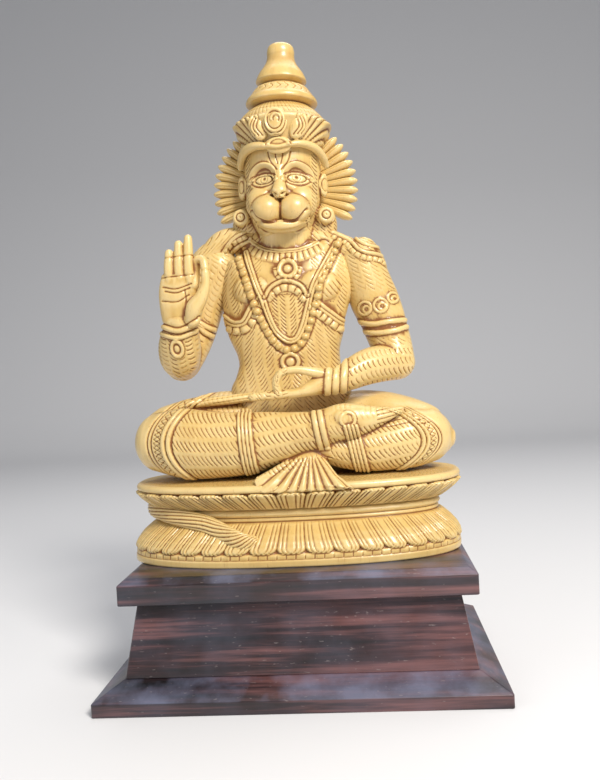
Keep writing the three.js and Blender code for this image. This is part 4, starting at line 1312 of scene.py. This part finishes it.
def petal_edge(spot, rise, pitch, lean):
    """Distance outside a round-tipped tongue, whose half width grows from its tip, where rise is 0:
    half the pitch * (1 - (1 - rise / 0.24)^2.6)^0.42, and half the pitch from 0.24 on."""
    half = 0.5 * pitch * np.clip(1 - (1 - np.clip(rise / 0.24, 0, 1)) ** 2.6, 0, 1) ** 0.42
    return off_beat(spot - lean, pitch) - half


def petal_relief(edge):
    """A swelling tongue with a dark outline and two nested grooves inside it."""
    swell = 1.2 * np.clip(-edge / 2.2, 0, 1) ** 0.6
    grooves = 0.8 * dip(edge + 1.9, 0.42) + 0.7 * dip(edge + 3.8, 0.42)
    return swell - 1.1 * np.clip((edge + 0.5) / 0.8, 0, 1) - grooves


def lotus_tier(name, rows, count):
    """Place = outline - outward direction * (inset - petals + ticks), at each height of the profile."""
    rows = np.array(rows, float)
    run = np.concatenate([[0], np.cumsum(np.linalg.norm(np.diff(rows, axis=0), axis=1))])
    spread = np.linspace(0, run[-1], count)
    height, inset = (np.interp(spread, run, rows[:, k])[:, None] for k in (0, 1))
    points, out, spot, total = outline_columns()
    pitch, drift = total / PETALS, np.tanh(spot / 34)[None, :]
    lower = plateau(height - 13.5, 7.2, 0.9)
    upper = plateau(height - 32.3, 5.3, 0.9)
    low_edge = petal_edge(spot[None, :], (height - 6.4) / 14.2, pitch, 0.62 * drift * (20.6 - height))
    high_edge = petal_edge(spot[None, :], (37.5 - height) / 10.2, pitch, 1.0 * drift * (height - 27.2))
    tick = plateau(height - 5, 1.1, 0.3) * dip((spot / 4.8 % 1 - 0.5)[None, :], 0.06)
    dents = np.clip((inset - 2.4) / 2, 0, 1) * np.clip((height - 40) / 1, 0, 1)
    rough = dip(np.sin(1.15 * spot[None, :] + 3 * np.sin(0.9 * inset)), 0.35)
    depth = inset - lower * petal_relief(low_edge) - 1.9 * upper * petal_relief(high_edge) + 0.5 * tick
    shift = FOOT_SHIFT + (RIM_SHIFT - FOOT_SHIFT) * height / LOTUS_HEIGHT
    place = points[None, :, :] - out[None, :, :] * depth[:, :, None]
    level = BASE_Z + height - 0.35 * dents * rough
    place = np.stack([place[..., 0] + shift, place[..., 1], level], axis=-1)
    finish_carving(make_object(name, *closed_skin(place)), reach=8, depth=0.35)


lotus_tier("lotus_lower_tier", LOWER_ROWS, count=74)
lotus_tier("lotus_upper_tier", UPPER_ROWS, count=76)

# %% [markdown]
# ## Tail
# The tail comes round the left of the waist between the tiers and ends in a tuft over the lower
# petals. Hair or curves could give the strands. Grooves along one more limb are what a gouge leaves.

# %% Tail
TAIL = Limb([
    (-83, 6, -12, 4, 3.4), (-79, -9, -12.4, 4.4, 3.6), (-68.6, -20.4, -13.6, 4.6, 3.8),
    (-57.8, -26, -15.4, 4.8, 3.8), (-47.2, -29.8, -18, 5, 3.9), (-38.7, -33.6, -21.7, 5.3, 4),
    (-30.3, -38, -25.6, 5.7, 3.7), (-25, -39, -26.4, 5, 3.4), (-21, -38.6, -25.8, 3.4, 2.6),
    (-18.6, -38.2, -25.4, 1.2, 1.2),
], count=120)


def carve_tail(grid, out):
    """Strands along the tail, which bend in the tuft by the square of the way past its root."""
    along, angle = TAIL.local(grid)
    root = along.max() - 30
    spot = angle * 4.2 + 0.16 * along + 0.012 * np.clip(along - root, 0, 30) ** 2
    return -0.75 * dip(off_beat(spot, 1.9), 0.36) * np.clip(-out[:, 1] * 3, 0, 1)


tail = weld("tail", [seated(TAIL.shell(40))], voxel=0.45)
carve(tail, carve_tail, budget=22000, reach=6)

# %% [markdown]
# ## Plinth boards
# The real boards have a little wear on every edge, which is what catches the light. A bevel modifier
# could round the edges of a box. A rounded rectangle carried up a profile with small arcs for corners
# gives the wide bevels of the boards and their wear at once.


# %% Boards
def board(name, profile, corner=1.2):
    """Rings of a rounded rectangle: half sizes (profile) less the corner, plus the corner's arc."""
    low, high = (np.array(c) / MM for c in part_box(name))
    middle, half = ((low + high) / 2)[:2], ((high - low) / 2)[:2]
    angle = np.linspace(0, np.pi / 2, 6)
    rings = []
    for z, inset in rounded(profile, 0.55):
        parts = []
        for k, (sx, sy) in enumerate(((1, 1), (-1, 1), (-1, -1), (1, -1))):
            turn = angle + k * np.pi / 2
            at = middle + (half - inset - corner) * (sx, sy)
            parts.append(at + corner * np.stack([np.cos(turn), np.sin(turn)], axis=1))
        loop = np.vstack(parts)
        rings.append(np.column_stack([loop, np.full(len(loop), low[2] + z)]))
    piece = make_object(name + "_worn", *closed_skin(np.array(rings)))
    shade_flats(piece)
    piece.data.materials.append(rosewood)
    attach(piece, "root")
    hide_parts(name)
    print(piece.name, len(piece.data.polygons), "faces")


def rounded(profile, radius):
    """Each corner of the profile gives way to five points on the curve between its two sides."""
    p = np.array(profile, float)
    rows = [p[0]]
    for a, b, c in zip(p[:-2], p[1:-1], p[2:]):
        start = b + (a - b) * min(0.45, radius / np.linalg.norm(a - b))
        end = b + (c - b) * min(0.45, radius / np.linalg.norm(c - b))
        for t in np.linspace(0, 1, 5):
            rows.append((1 - t) ** 2 * start + 2 * t * (1 - t) * b + t**2 * end)
    return rows + [p[-1]]


def shade_flats(piece):
    """Smooth shading led by the large faces, so that flats look flat and only the arcs look round."""
    piece.data.polygons.foreach_set("use_smooth", np.ones(len(piece.data.polygons), bool))
    weighted = piece.modifiers.new("weighted", "WEIGHTED_NORMAL")
    weighted.keep_sharp = True
    weighted.weight = 100


def thickness(name):
    low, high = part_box(name)
    return (high[2] - low[2]) / MM


PLATE_EDGE, PLATE_BEVEL = 6.5, 13  # how high the upright edge is, and how far the bevel runs in
TRUNK_TAPER = 6.5
SLAB_EDGE, SLAB_BEVEL = 9.9, 4
# A profile is pairs of height and inset. Its ends run in under the board and over it, and close it.
UNDER = [(0, 30), (0, 0)]
plate, trunk, slab = map(thickness, ("plinth_base_plate", "plinth_trunk", "plinth_top_slab"))
board("plinth_base_plate", UNDER + [(PLATE_EDGE, 0), (plate, PLATE_BEVEL), (plate, 40)])
board("plinth_trunk", UNDER + [(trunk, TRUNK_TAPER), (trunk, 40)], corner=0.9)
board("plinth_top_slab", UNDER + [(SLAB_EDGE, 0), (slab, SLAB_BEVEL), (slab, 40)])

# %% [markdown]
# ## Finish

# %% Finish
print("the scene is built")
